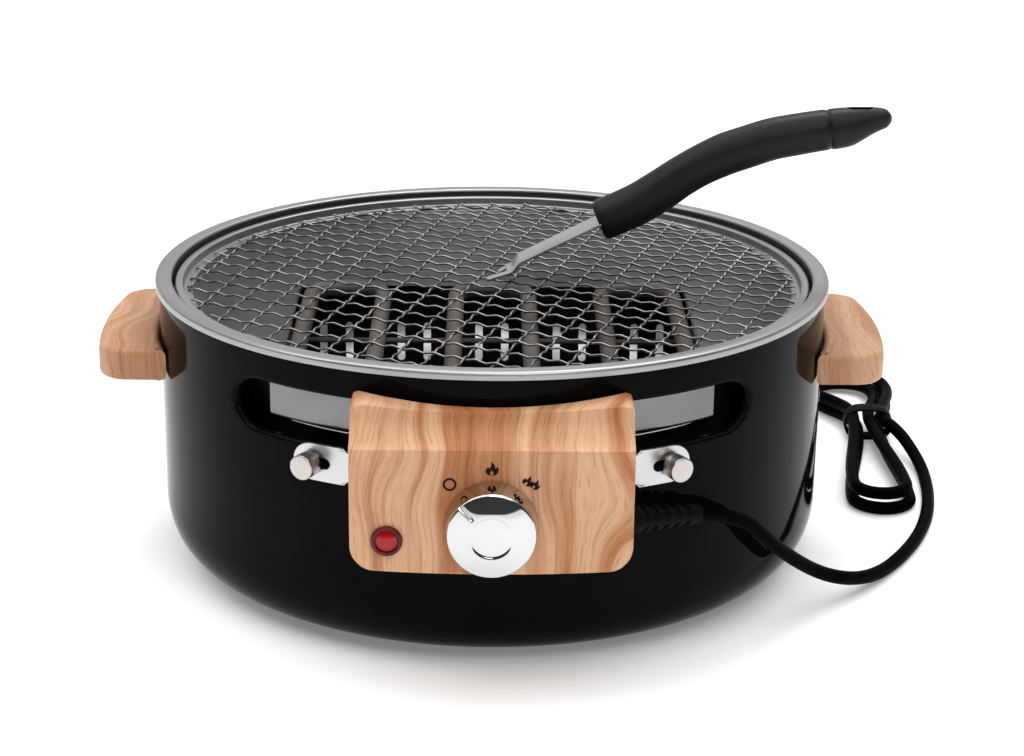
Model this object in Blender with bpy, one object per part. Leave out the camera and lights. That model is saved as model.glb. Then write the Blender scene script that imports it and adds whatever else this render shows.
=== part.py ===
# Table-top barbecue grill with a charcoal box and an electric element under one round net.
# Metres, +Z up. The origin is the middle of the footprint on the table, without the cord.
# All pieces hang on one empty that stands on the pot's axis.

import math

import bmesh
import bpy
import numpy as np
from mathutils import Matrix, Quaternion, Vector

# General clearances and fineness
GAP = 0.0003                # between pieces that touch
OVERRUN = 0.004             # by which a cutter runs past what it cuts
ROUND_STEPS = 48            # sides of the big round shells
SMALL_STEPS = 12            # sides of small round pieces
CORNER_STEPS = 4            # facets of a rounded corner
SHELL_CORNER_STEPS = 5      # facets of the pot's and the bowl's bottom corner
SECTOR_STEPS_PER_TURN = 72  # how finely the curved strips of the control unit follow the pot
SPLINE_STEPS = 24           # between two points of a smooth route
SHARP_ANGLE = 35            # degrees from which an edge is shown sharp
MITRE_SHARE = 0.5           # least cosine that an offset corner is stretched for

# Outer pot
POT_RADIUS = 0.165
POT_WALL = 0.0012
POT_CORNER = 0.0225
POT_TOP = 0.148             # top of the steel flange that lies on the pot
FOOT_RADIUS = 0.009
FOOT_TIP_RADIUS = 0.0075
FOOT_HEIGHT = 0.0037
FOOT_CIRCLE = 0.105
FOOT_ANGLES = {"front_left": 225, "front_right": 315, "rear_left": 135, "rear_right": 45}
POT_BOTTOM = FOOT_HEIGHT + GAP

# Long slot in the pot and bowl for the electric element
SLOT_WIDTH = 0.238
SLOT_HEIGHT = 0.024
SLOT_DROP = 0.030
SLOT_Z = POT_TOP - SLOT_DROP
SLOT_BACK_SHARE = 0.5       # how deep the slot's cutter goes, as a share of the pot's radius

# Inner bowl, which hangs on the pot's rim by its flange
BOWL_SHEET = 0.001
FLANGE_OVERHANG = 0.005
FLANGE_DROP = 0.0037
GROOVE_INSET = 0.0025
LEDGE_WIDTH = 0.0095
LEDGE_DROP = 0.009
BOWL_ROOM = 0.020           # between the bowl's wall and the pot's
BOWL_CORNER = 0.025
FLANGE_OUTER = POT_RADIUS + FLANGE_OVERHANG
GROOVE_RADIUS = POT_RADIUS - GROOVE_INSET    # inner wall of the flange, round the net's ring
LEDGE_INNER = GROOVE_RADIUS - LEDGE_WIDTH
LEDGE_Z = POT_TOP - LEDGE_DROP
BOWL_WALL_RADIUS = POT_RADIUS - BOWL_ROOM

# Electric element: six runs of one bent tube
ELEMENT_RADIUS = 0.00425
ELEMENT_RISE = 0.002        # above the middle of the slot
RUN_COUNT = 6
SLOT_END_ROOM = 0.0235      # from the slot's ends to the outer runs
RUN_BEND = 0.012
RUN_BACK = 0.0535
RUN_FRONT = -0.105
END_ROOM = 0.007            # from the tube's ends to the plate
BEND_STEPS = 4
BUSH_RADIUS = 0.0062
BUSH_HOLD = 0.011           # by which a bush reaches along the tube
ELEMENT_Z = SLOT_Z + ELEMENT_RISE
RUN_PITCH = (SLOT_WIDTH - 2 * SLOT_END_ROOM) / (RUN_COUNT - 1)
OUTER_RUN_X = (RUN_COUNT - 1) / 2 * RUN_PITCH

# Charcoal box, standing on the bowl's floor
BOX_SIDE_ROOM = 0.0077      # from the outer runs to the box's sides
BOX_FRONT = -0.0912
BOX_END_ROOM = 0.0065       # from the far bends to the box's far wall
BOX_WALL = 0.0012
BOX_CORNER = 0.010
BOX_HEIGHT = 0.054
BOX_FOOT_RADIUS = 0.006
BOX_FOOT_HEIGHT = 0.008
BOX_FOOT_INSET = 0.0332     # from the box's sides to its feet
BOX_FOOT_Y = 0.040
BOX_NOTCH_DEPTH = 0.008
VENT_COUNT = 14
VENT_PITCH = 0.014
VENT_WIDTH = 0.004
VENT_HEIGHT = 0.022
VENT_RISE = 0.0225          # of the slots' middle above the box's bottom
ROD_RADIUS = 0.0015
ROD_INSET = 0.010
ROD_RISE = 0.026
BOX_HALF_WIDTH = OUTER_RUN_X + BOX_SIDE_ROOM
BOX_BACK = RUN_BACK + BOX_END_ROOM
BOX_TOP = ELEMENT_Z
BOX_BOTTOM = BOX_TOP - BOX_HEIGHT
BOX_FOOT_X = BOX_HALF_WIDTH - BOX_FOOT_INSET
VENT_Z = BOX_BOTTOM + VENT_RISE
ROD_Y = BOX_BACK - ROD_INSET
ROD_Z = BOX_BOTTOM + ROD_RISE
BOWL_FLOOR_Z = BOX_BOTTOM - BOX_FOOT_HEIGHT

# Curved plate that carries the element behind the slot
PLATE_INSET = 0.0025        # from the pot's outside
PLATE_SHEET = 0.0012
PLATE_END_GAP = 0.017       # from its ends to the slot's
PLATE_RISE = 0.0105         # of its top above the middle of the slot
PLATE_HEIGHT = 0.0165
PLATE_FLANGE = 0.012
NECK_HALF_WIDTH = 0.045
NECK_HEIGHT = 0.016
PLATE_RADIUS = POT_RADIUS - PLATE_INSET
PLATE_HALF_WIDTH = SLOT_WIDTH / 2 - PLATE_END_GAP
PLATE_TOP = SLOT_Z + PLATE_RISE
PLATE_BOTTOM = PLATE_TOP - PLATE_HEIGHT
PLATE_INSIDE = PLATE_RADIUS - PLATE_SHEET
END_FRONT = END_ROOM - math.sqrt(PLATE_INSIDE ** 2 - OUTER_RUN_X ** 2)
BUSH_BACK = END_FRONT + BUSH_HOLD

# Steel strap and its two thumbscrews
STRAP_SHEET = 0.0015
STRAP_HEIGHT = 0.0175
STRAP_DROP = 0.020          # below the middle of the slot
STRAP_Z = SLOT_Z - STRAP_DROP
STRAP_HALF_WIDTH = 0.094
STRAP_HOLE_LENGTH = 0.011
STRAP_HOLE_HEIGHT = 0.0055
STRAP_HOLE_X = 0.0785
SCREW_ANGLE = 28.6          # degrees from the front
SCREW_SHANK = 0.002
SCREW_HEAD_RADIUS = 0.0054
SCREW_HEAD_LENGTH = 0.010
SCREW_COLLAR_RADIUS = 0.0035
SCREW_COLLAR_LENGTH = 0.003
SCREW_CHAMFER = 0.0006
SCREW_INSIDE = 0.008
NUT_RADIUS = 0.0045
NUT_LENGTH = 0.004

# Wooden front of the control unit
FASCIA_WIDTH = 0.125
FASCIA_HEIGHT = 0.070
FASCIA_RISE = 0.014         # of its top above the middle of the slot
FASCIA_DEPTH = 0.027        # of the front face before the pot
COVE_DEPTH = 0.014
COVE_HEIGHT = 0.013
FASCIA_CORNER = 0.009
FASCIA_COVE_STEPS = 5
POCKET_SIDE_WALL = 0.0095
POCKET_BOTTOM_WALL = 0.004
POCKET_HEIGHT = 0.038
POCKET_FRONT_WALL = 0.008
FASCIA_TOP = SLOT_Z + FASCIA_RISE
FASCIA_BOTTOM = FASCIA_TOP - FASCIA_HEIGHT
FASCIA_FACE = POT_RADIUS + FASCIA_DEPTH
POCKET_HALF_WIDTH = FASCIA_WIDTH / 2 - POCKET_SIDE_WALL
POCKET_BOTTOM = FASCIA_BOTTOM + POCKET_BOTTOM_WALL
POCKET_TOP = POCKET_BOTTOM + POCKET_HEIGHT
POCKET_CORNER = 0.002
COVER_SHEET = 0.0012

# Knob, its switch and the lamp
KNOB_RISE = 0.023           # above the fascia's bottom edge
KNOB_Z = FASCIA_BOTTOM + KNOB_RISE
KNOB_BASE_RADIUS = 0.0205
KNOB_FRONT_RADIUS = 0.01885
KNOB_LENGTH = 0.0152
KNOB_CHAMFER = 0.001
KNOB_DIMPLE_RADIUS = 0.00975
KNOB_DIMPLE_DEPTH = 0.0008
KNOB_STEPS = 32
POINTER_ANGLE = -45         # degrees from straight up, at the off position
POINTER_WIDTH = 0.0016
POINTER_DEPTH = 0.0008
POINTER_INNER = 0.012
SHAFT_RADIUS = 0.003
SHAFT_IN_SWITCH = 0.0075
SHAFT_IN_KNOB = 0.011
SHAFT_HOLE_RADIUS = 0.004
SWITCH_RADIUS = 0.016
SWITCH_LENGTH = 0.014
TERMINAL_SIZE = (0.022, 0.010, 0.012)
TERMINAL_CORNER = 0.0015
TERMINAL_SIDE_ROOM = 0.006  # from the block to the side of the fascia's pocket
TERMINAL_X = POCKET_HALF_WIDTH - TERMINAL_SIDE_ROOM - TERMINAL_SIZE[0] / 2
TERMINAL_RISE = 0.032
TERMINAL_Z = FASCIA_BOTTOM + TERMINAL_RISE
LAMP_INSET = 0.0165         # from the fascia's side
LAMP_X = LAMP_INSET - FASCIA_WIDTH / 2
LAMP_RISE = 0.014
LAMP_Z = FASCIA_BOTTOM + LAMP_RISE
LAMP_BEZEL_RADIUS = 0.00725
LAMP_BEZEL_HEIGHT = 0.0015
LAMP_LENS_RADIUS = 0.0048
LAMP_LENS_HEIGHT = 0.0017
LAMP_BODY_LENGTH = 0.014

# Wooden side handles
HANDLE_DEPTH = 0.033        # from the pot to the outer face
HANDLE_HALF_LENGTH = 0.0545
HANDLE_BOW = 0.003          # by which the outer face falls back at its ends
HANDLE_CORNER = 0.015
HANDLE_DROP = 0.0285        # of its top below the rim's
HANDLE_HEIGHT = 0.0163
HANDLE_EDGE = 0.0025
HANDLE_CLEARANCE = 0.0025   # from the pot to the handle, filled by the spacers
HANDLE_SCREW_Y = 0.030
HANDLE_SCREW_RADIUS = 0.002
HANDLE_SCREW_IN_WOOD = 0.016
HANDLE_SCREW_HEAD = 0.0042
HANDLE_SCREW_HEAD_LENGTH = 0.0022
SPACER_RADIUS = 0.006
HANDLE_REACH = POT_RADIUS + HANDLE_DEPTH
HANDLE_TOP = POT_TOP - HANDLE_DROP
HANDLE_BOTTOM = HANDLE_TOP - HANDLE_HEIGHT

# Net and its ring
NET_RING_ROOM = 0.0031      # from the ring to the wall of its groove
NET_RING_BAND = 0.0054
NET_RING_HEIGHT = 0.0032
NET_SEAT_WIDTH = 0.0025
NET_SEAT_HEIGHT = 0.0008
NET_WIRE = 0.0014
NET_BAND = 0.0015
NET_PITCH_A = 0.0159        # between the wires that run from near left to far right
NET_PITCH_B = 0.0216        # between the wires that run across them
NET_ANGLE_A = 73.4          # degrees from +X
NET_ANGLE_B = -27.2
NET_CROSSING = (-0.0421, -0.0591)
NET_LEAST_CELL_SHARE = 0.12
NET_CIRCLE_STEPS = 60
NET_RING_OUTER = GROOVE_RADIUS - NET_RING_ROOM
NET_RING_INNER = NET_RING_OUTER - NET_RING_BAND
NET_SEAT_INNER = NET_RING_INNER - NET_SEAT_WIDTH

# Lifter: a steel tongue with two tines, and its handle
LIFTER_Y = 0.0
TONGUE_SHEET = 0.0015
TONGUE_HALF_WIDTH = 0.0065
TINE_WIDTH = 0.0035
TINE_TIP_X = -0.003
TONGUE_BEND_X = 0.0127
TONGUE_BEND_RISE = 0.0085   # of the bend above the tips
TONGUE_ANGLE = 27           # degrees above level
TONGUE_LENGTH = 0.058
# each point: distance from the pot's axis, height above the rim
GRIP_ROUTE = [(0.0579, 0.0240), (0.0792, 0.0383), (0.0989, 0.0515), (0.1234, 0.0636),
              (0.1529, 0.0726), (0.1702, 0.0755), (0.1860, 0.0780), (0.1975, 0.0810)]
GRIP_HALF_WIDTH = 0.0095
GRIP_HALF_HEIGHT = 0.0093
GRIP_WIDTH_SHARES = [1.0, 1.0, 1.0, 1.0, 1.0, 0.97, 0.80, 0.34]
GRIP_HEIGHT_SHARES = [1.0, 0.98, 0.97, 0.98, 1.0, 1.0, 0.72, 0.34]
GRIP_STATIONS = 18
GRIP_STEPS = 12
GRIP_HOLE_X = 0.1835
GRIP_HOLE_LENGTH = 0.012
GRIP_HOLE_WIDTH = 0.006

# Cord, strain relief and plug
CORD_DIAMETER = 0.007
RELIEF_OUT = 0.0007         # of its wide end before the fascia's side
RELIEF_SETBACK = 0.022      # of its wide end behind the front face
RELIEF_DROP = 0.006         # below the knob
RELIEF_RUN = (0.0308, 0.0200, -0.0050)
RELIEF_RADIUS = 0.008
RELIEF_TIP_RADIUS = 0.0052
RELIEF_RIBS = 5
RELIEF_GROOVE = 0.0014
# each pair: along a rib's pitch, and how much of the groove's depth
RELIEF_RIB_SHARES = [(0.45, 0), (0.55, 1), (0.90, 1), (1.0, 0)]
# each point: degrees from the front, room from the pot's wall, height
CORD_ROUTE = [(37.86, 0.01259, 0.0670), (45.27, 0.01263, 0.0490), (53.90, 0.01322, 0.0290),
              (62.72, 0.01390, 0.0110), (70.47, 0.01750, 0.0037), (75.89, 0.02575, 0.0035),
              (81.44, 0.04332, 0.0035), (88.20, 0.05811, 0.0035), (96.10, 0.07033, 0.0035),
              (103.30, 0.08284, 0.0035), (109.83, 0.09438, 0.0040), (114.60, 0.10170, 0.0080),
              (118.69, 0.10575, 0.0128)]
CORD_STEP_SHARE = 2.4       # from point to point, as a share of the cord's diameter
LOOP_SHARE = 5              # how far along the cord another stretch begins, in diameters
SAMPLE_SHARE = 0.2          # from sample to sample where gaps are measured, in diameters
TIE_PLACE = (124.92, 0.10576)
HANK_HEADING = 86           # degrees from +X, from the near loops to the tie
HANK_NEAR_RUN = 0.107
HANK_FAR_RUN = 0.062
HANK_NEAR_RADIUS = 0.020
HANK_FAR_RADIUS = 0.027
HANK_WAIST = 0.0105
HANK_STEP = 0.0081          # between turns side by side, and between the two layers
HANK_TURNS = 2.25
HANK_BOW_RADIUS = 0.200     # of the bend that the far half takes round the pot
HANK_RUN_POINTS = 3
HANK_ARC_POINTS = 6
TIE_BAND = 0.0014
TIE_WIDTH = 0.006
TIE_ROOM = 0.0012           # between the strands and the band at its sides
TAIL_ROUTE = [(142.61, 0.13141, 0.0045), (145.12, 0.11477, 0.0110)]
PLUG_PLACE = (149.19, 0.08882)
PLUG_HEADING = 205          # degrees from +X
PLUG_LENGTH = 0.046
PLUG_FACE_RADIUS = 0.0185
PLUG_GRIP_RADIUS = 0.0115
PLUG_REAR_RADIUS = 0.0052
PLUG_FLANGE_LENGTH = 0.013
PIN_RADIUS = 0.0024
PIN_LENGTH = 0.019
PIN_SPACING = 0.019
PIN_SUNK = 0.006

# Finishes: colour, roughness, metallic
FINISHES = {
    "black_enamel": ((0.010, 0.010, 0.011), 0.10, 0.0),
    "box_enamel": ((0.014, 0.013, 0.013), 0.16, 0.0),
    "satin_steel": ((0.60, 0.60, 0.61), 0.28, 1.0),
    "wire_steel": ((0.52, 0.51, 0.50), 0.32, 1.0),
    "element_sheath": ((0.085, 0.075, 0.070), 0.55, 0.3),
    "light_wood": ((0.66, 0.42, 0.25), 0.55, 0.0),
    "chrome": ((0.78, 0.78, 0.79), 0.06, 1.0),
    "black_plastic": ((0.016, 0.016, 0.017), 0.42, 0.0),
    "cord_sheath": ((0.014, 0.014, 0.015), 0.50, 0.0),
    "black_rubber": ((0.020, 0.020, 0.020), 0.75, 0.0),
    "grey_plastic": ((0.28, 0.28, 0.28), 0.50, 0.0),
    "ceramic": ((0.80, 0.78, 0.74), 0.45, 0.0),
    "red_lens": ((0.45, 0.010, 0.012), 0.12, 0.0),
    "plug_brass": ((0.75, 0.72, 0.66), 0.20, 1.0),
}


def clear_scene():
    for thing in list(bpy.data.objects):
        bpy.data.objects.remove(thing)


def make_material(part_name, finish):
    colour, roughness, metallic = FINISHES[finish]
    material = bpy.data.materials.new(part_name + "_" + finish)
    material.use_nodes = True
    shader = material.node_tree.nodes["Principled BSDF"]
    shader.inputs["Base Color"].default_value = (*colour, 1.0)
    shader.inputs["Roughness"].default_value = roughness
    shader.inputs["Metallic"].default_value = metallic
    return material


def place(thing, location=(0, 0, 0), turn=None):
    """Puts a piece under the grill's own empty, turned by a quaternion."""
    bpy.context.collection.objects.link(thing)
    thing.parent = bpy.data.objects["grill_frame"]
    thing.location = location
    thing.rotation_mode = "QUATERNION"
    thing.rotation_quaternion = turn or Quaternion()
    return thing


def finish_mesh(name, mesh_builder, finish=None, location=(0, 0, 0), turn=None):
    """Turns a bmesh into a placed object with outward faces; without a finish it is a cutter."""
    bmesh.ops.recalc_face_normals(mesh_builder, faces=mesh_builder.faces)
    mesh = bpy.data.meshes.new(name)
    mesh_builder.to_mesh(mesh)
    mesh_builder.free()
    thing = place(bpy.data.objects.new(name, mesh), location, turn)
    if finish:
        mesh.materials.append(make_material(name, finish))
        mesh.shade_smooth()
        mesh.set_sharp_from_angle(angle=math.radians(SHARP_ANGLE))
    else:
        thing.hide_render = True
        thing.display_type = "WIRE"
    return thing


def boolean(target, tool, operation="DIFFERENCE"):
    modifier = target.modifiers.new(tool.name, "BOOLEAN")
    modifier.operation = operation
    modifier.object = tool
    modifier.solver = "EXACT"
    return target


def towards(direction):
    """The turn that takes local +Z to a direction."""
    return Vector(direction).to_track_quat("Z", "Y")


def around_pot(degrees_from_front, radius, height):
    """A place at a radius from the pot's axis, and the outward direction there."""
    angle = math.radians(degrees_from_front)
    outward = Vector((math.sin(angle), -math.cos(angle), 0))
    return outward * radius + Vector((0, 0, height)), outward


def turned(profile, steps, start=0.0, sweep=2 * math.pi):
    """A closed (radius, height) outline carried round Z, all the way or over a sweep."""
    builder = bmesh.new()
    whole = sweep >= 2 * math.pi
    columns = steps if whole else steps + 1
    rings = []
    for radius, height in profile:
        if radius == 0:
            rings.append([builder.verts.new((0, 0, height))] * columns)
            continue
        ring = []
        for index in range(columns):
            angle = start + sweep * index / steps
            ring.append(builder.verts.new((radius * math.cos(angle), radius * math.sin(angle), height)))
        rings.append(ring)
    for index, ring in enumerate(rings):
        following = rings[(index + 1) % len(rings)]
        for column in range(steps):
            after = (column + 1) % columns
            corners = [ring[column], ring[after], following[after], following[column]]
            corners = [c for place_in, c in enumerate(corners) if c is not corners[place_in - 1]]
            if len(corners) > 2:
                builder.faces.new(corners)
    if not whole:
        builder.faces.new([ring[0] for ring in rings])
        builder.faces.new([ring[-1] for ring in rings])
    return builder


def offset_line(points, distance, closed=False):
    """The line moved to its right by a distance, with mitred corners."""
    moved = []
    count = len(points)
    for index, point in enumerate(points):
        sides = []
        if closed or index > 0:
            sides.append(Vector(point) - Vector(points[index - 1]))
        if closed or index < count - 1:
            sides.append(Vector(points[(index + 1) % count]) - Vector(point))
        normals = [Vector((side.y, -side.x)).normalized() for side in sides]
        middle = sum(normals, Vector((0, 0))).normalized()
        reach = distance / max(middle.dot(normals[0]), MITRE_SHARE)
        moved.append(tuple(Vector(point) + middle * reach))
    return moved


def band(inner, outer, low, high):
    """The (radius, height) outline of a ring, or of a disc where inner is zero."""
    return [(inner, low), (outer, low), (outer, high), (inner, high)]


def arc(centre, radius, start_degrees, end_degrees, steps):
    """Points on an arc, both ends included."""
    sweep = end_degrees - start_degrees
    angles = [math.radians(start_degrees + sweep * i / steps) for i in range(steps + 1)]
    return [(centre[0] + radius * math.cos(a), centre[1] + radius * math.sin(a)) for a in angles]


def rounded_rectangle(low, high, radius, steps=CORNER_STEPS):
    """A counter-clockwise outline with four rounded corners."""
    left, bottom = low[0] + radius, low[1] + radius
    right, top = high[0] - radius, high[1] - radius
    return (arc((right, bottom), radius, -90, 0, steps) + arc((right, top), radius, 0, 90, steps)
            + arc((left, top), radius, 90, 180, steps) + arc((left, bottom), radius, 180, 270, steps))


def stacked(layers):
    """A solid through equal-length closed outlines, each a list of (x, y) with its height."""
    builder = bmesh.new()
    rings = [[builder.verts.new((x, y, height)) for x, y in outline] for outline, height in layers]
    for lower, upper in zip(rings, rings[1:]):
        for index in range(len(lower)):
            before = index - 1
            builder.faces.new([lower[before], lower[index], upper[index], upper[before]])
    builder.faces.new(rings[0])
    builder.faces.new(rings[-1])
    return builder


def front_prism(outline, depth_back, depth_front):
    """A solid with an (x, z) outline that runs along Y, between two distances in front of the axis."""
    builder = stacked([(outline, depth_back), (outline, depth_front)])
    bmesh.ops.rotate(builder, verts=builder.verts, matrix=Matrix.Rotation(math.radians(90), 3, "X"))
    return builder


def smooth_route(points, step):
    """Even points on a smooth curve through the route's own points."""
    knots = [Vector(p) for p in points]
    knots = [knots[0] * 2 - knots[1]] + knots + [knots[-1] * 2 - knots[-2]]
    fine = []
    for index in range(1, len(knots) - 2):
        before, start, end, after = knots[index - 1:index + 3]
        for number in range(SPLINE_STEPS):
            t = number / SPLINE_STEPS
            fine.append(0.5 * (2 * start + (end - before) * t
                               + (2 * before - 5 * start + 4 * end - after) * t * t
                               + (3 * start - before - 3 * end + after) * t ** 3))
    fine.append(knots[-2])
    lengths = [0.0]
    for a, b in zip(fine, fine[1:]):
        lengths.append(lengths[-1] + (b - a).length)
    count = max(2, round(lengths[-1] / step))
    even = np.interp(np.linspace(0, lengths[-1], count + 1), lengths, range(len(fine)))
    return [fine[int(i)].lerp(fine[min(int(i) + 1, len(fine) - 1)], i - int(i)) for i in even], lengths[-1]


def tube(name, points, radius, resolution, finish):
    """A round tube along points, as a bevelled curve with filled caps."""
    curve = bpy.data.curves.new(name, "CURVE")
    curve.dimensions = "3D"
    curve.bevel_depth = radius
    curve.bevel_resolution = resolution
    curve.use_fill_caps = True
    spline = curve.splines.new("POLY")
    spline.points.add(len(points) - 1)
    for target, point in zip(spline.points, points):
        target.co = (*point, 1.0)
    curve.materials.append(make_material(name, finish))
    return place(bpy.data.objects.new(name, curve))


def free_stretch(name, start, leave, route, end, arrive):
    """A loose stretch of cord: smooth through its route, with one straight diameter at each end."""
    inner = [start + leave * CORD_DIAMETER] + [Vector(p) for p in route] + [end - arrive * CORD_DIAMETER]
    points, length = smooth_route(inner, CORD_DIAMETER * CORD_STEP_SHARE)
    tube(name, [start] + points + [end], CORD_DIAMETER / 2, 2, "cord_sheath")
    return length + 2 * CORD_DIAMETER


def slot_cutter(name):
    """The long opening's shape, cut through the front walls of the pot and the bowl."""
    radius = SLOT_HEIGHT / 2
    outline = rounded_rectangle((-SLOT_WIDTH / 2, SLOT_Z - radius), (SLOT_WIDTH / 2, SLOT_Z + radius),
                                radius, 2 * CORNER_STEPS)
    return finish_mesh(name, front_prism(outline, POT_RADIUS * SLOT_BACK_SHARE, POT_RADIUS + OVERRUN))


def radial_cutter(name, degrees, height, radius, inner, outer, steps=SMALL_STEPS):
    start, outward = around_pot(degrees, inner, height)
    return finish_mesh(name, turned(band(0, radius, 0, outer - inner), steps), None, start, towards(outward))


def pot_inside():
    """How far from the axis the flats of the pot's inner wall lie."""
    return (POT_RADIUS - POT_WALL) * math.cos(math.pi / ROUND_STEPS)


def handle_screw_angles():
    """Degrees from the front of the two screws of each handle."""
    lean = math.degrees(math.asin(HANDLE_SCREW_Y / POT_RADIUS))
    return {"left": (-90 - lean, -90 + lean), "right": (90 - lean, 90 + lean)}


def make_pot():
    flange_under = POT_TOP - BOWL_SHEET
    skin = ([(0, POT_BOTTOM)]
            + arc((POT_RADIUS - POT_CORNER, POT_BOTTOM + POT_CORNER), POT_CORNER, -90, 0, SHELL_CORNER_STEPS)
            + [(POT_RADIUS, flange_under - GAP)])
    inner = offset_line(skin, -POT_WALL)
    pot = finish_mesh("outer_pot", turned(skin + inner[::-1], ROUND_STEPS), "black_enamel")
    boolean(pot, slot_cutter("pot_slot_cutter"))
    inside, outside = pot_inside() - OVERRUN, POT_RADIUS + OVERRUN
    middle = (HANDLE_TOP + HANDLE_BOTTOM) / 2
    for side, sign in (("left", -1), ("right", 1)):
        hole = radial_cutter("thumb_hole_cutter_" + side, sign * SCREW_ANGLE, STRAP_Z,
                             SCREW_SHANK + GAP, inside, outside)
        boolean(pot, hole)
        for number, degrees in enumerate(handle_screw_angles()[side]):
            hole = radial_cutter(f"handle_hole_cutter_{side}_{number}", degrees, middle,
                                 HANDLE_SCREW_RADIUS + GAP, inside, outside)
            boolean(pot, hole)
    for corner, degrees in FOOT_ANGLES.items():
        angle = math.radians(degrees)
        profile = [(0, 0), (FOOT_TIP_RADIUS, 0), (FOOT_RADIUS, FOOT_HEIGHT), (0, FOOT_HEIGHT)]
        finish_mesh("foot_" + corner, turned(profile, SMALL_STEPS), "black_rubber",
                    (FOOT_CIRCLE * math.cos(angle), FOOT_CIRCLE * math.sin(angle), 0))


def make_bowl():
    wall_foot = BOWL_FLOOR_Z + BOWL_CORNER
    skin = ([(0, BOWL_FLOOR_Z)]
            + arc((BOWL_WALL_RADIUS - BOWL_CORNER, wall_foot), BOWL_CORNER, -90, 0, SHELL_CORNER_STEPS)
            + [(LEDGE_INNER, LEDGE_Z), (GROOVE_RADIUS, LEDGE_Z), (GROOVE_RADIUS, POT_TOP),
               (FLANGE_OUTER, POT_TOP), (FLANGE_OUTER, POT_TOP - FLANGE_DROP)])
    under = offset_line(skin, BOWL_SHEET)
    bowl = finish_mesh("inner_bowl", turned(skin + under[::-1], ROUND_STEPS), "satin_steel")
    boolean(bowl, slot_cutter("bowl_slot_cutter"))


def make_coal_box():
    low, high = (-BOX_HALF_WIDTH, BOX_FRONT), (BOX_HALF_WIDTH, BOX_BACK)
    outer = rounded_rectangle(low, high, BOX_CORNER)
    inside_low, inside_high = [c + BOX_WALL for c in low], [c - BOX_WALL for c in high]
    inner = rounded_rectangle(inside_low, inside_high, BOX_CORNER - BOX_WALL)
    box = finish_mesh("coal_box", stacked([(outer, BOX_BOTTOM), (outer, BOX_TOP), (inner, BOX_TOP),
                                           (inner, BOX_BOTTOM + BOX_WALL)]), "box_enamel")
    notch_half = OUTER_RUN_X + ELEMENT_RADIUS + 2 * BOX_WALL
    notch = rounded_rectangle((-notch_half, BOX_TOP - BOX_NOTCH_DEPTH), (notch_half, BOX_TOP + OVERRUN),
                              BOX_WALL, 1)
    notch_solid = front_prism(notch, -BOX_FRONT - OVERRUN, -BOX_FRONT + OVERRUN)
    boolean(box, finish_mesh("box_notch_cutter", notch_solid))
    half, half_height = VENT_WIDTH / 2, VENT_HEIGHT / 2
    for index in range(VENT_COUNT):
        x = (index - (VENT_COUNT - 1) / 2) * VENT_PITCH
        vent = rounded_rectangle((x - half, VENT_Z - half_height), (x + half, VENT_Z + half_height), half, 2)
        vent_solid = front_prism(vent, -BOX_BACK - OVERRUN, -BOX_BACK + OVERRUN)
        boolean(box, finish_mesh(f"vent_cutter_{index}", vent_solid))
    foot_bottom = BOWL_FLOOR_Z + GAP
    foot_middle = (BOX_FRONT + BOX_BACK) / 2
    for number, (x, y) in enumerate([(-1, -1), (-1, 1), (1, -1), (1, 1)]):
        height = BOX_BOTTOM + BOX_WALL / 2 - foot_bottom
        foot_solid = turned(band(0, BOX_FOOT_RADIUS, 0, height), SMALL_STEPS)
        foot = finish_mesh(f"box_foot_{number}_guide", foot_solid, None,
                           (x * BOX_FOOT_X, foot_middle + y * BOX_FOOT_Y, foot_bottom))
        boolean(box, foot, "UNION")
    rod_half = BOX_HALF_WIDTH - BOX_WALL - GAP
    rod_ends = [(-rod_half, ROD_Y, ROD_Z), (rod_half, ROD_Y, ROD_Z)]
    tube("box_cross_rod", rod_ends, ROD_RADIUS, 2, "element_sheath")


def element_path():
    """The serpentine of the heating tube, from its left end to its right end."""
    points = []
    for index in range(RUN_COUNT):
        x = (index - (RUN_COUNT - 1) / 2) * RUN_PITCH
        backwards = index % 2 == 1
        if index == 0:
            points.append((x, END_FRONT))
        else:
            y = RUN_BACK if backwards else RUN_FRONT
            corner_y = y - RUN_BEND if backwards else y + RUN_BEND
            points += arc((x - RUN_BEND, corner_y), RUN_BEND, 90 if backwards else -90, 0, BEND_STEPS)
        if index == RUN_COUNT - 1:
            points.append((x, END_FRONT))
        else:
            y = RUN_FRONT if backwards else RUN_BACK
            corner_y = y + RUN_BEND if backwards else y - RUN_BEND
            points += arc((x + RUN_BEND, corner_y), RUN_BEND, 180, 270 if backwards else 90, BEND_STEPS)
    return [(x, y, ELEMENT_Z) for x, y in points]


def front_sector(name, outline, half_width, finish):
    """A curved front piece: an outline round the pot's axis, as wide each way as half_width."""
    widest = max(radius for radius, _ in outline)
    half_angle = math.asin(half_width / widest)
    steps = math.ceil(half_angle / math.pi * SECTOR_STEPS_PER_TURN)
    return finish_mesh(name, turned(outline, steps, -math.pi / 2 - half_angle, 2 * half_angle), finish)


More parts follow.
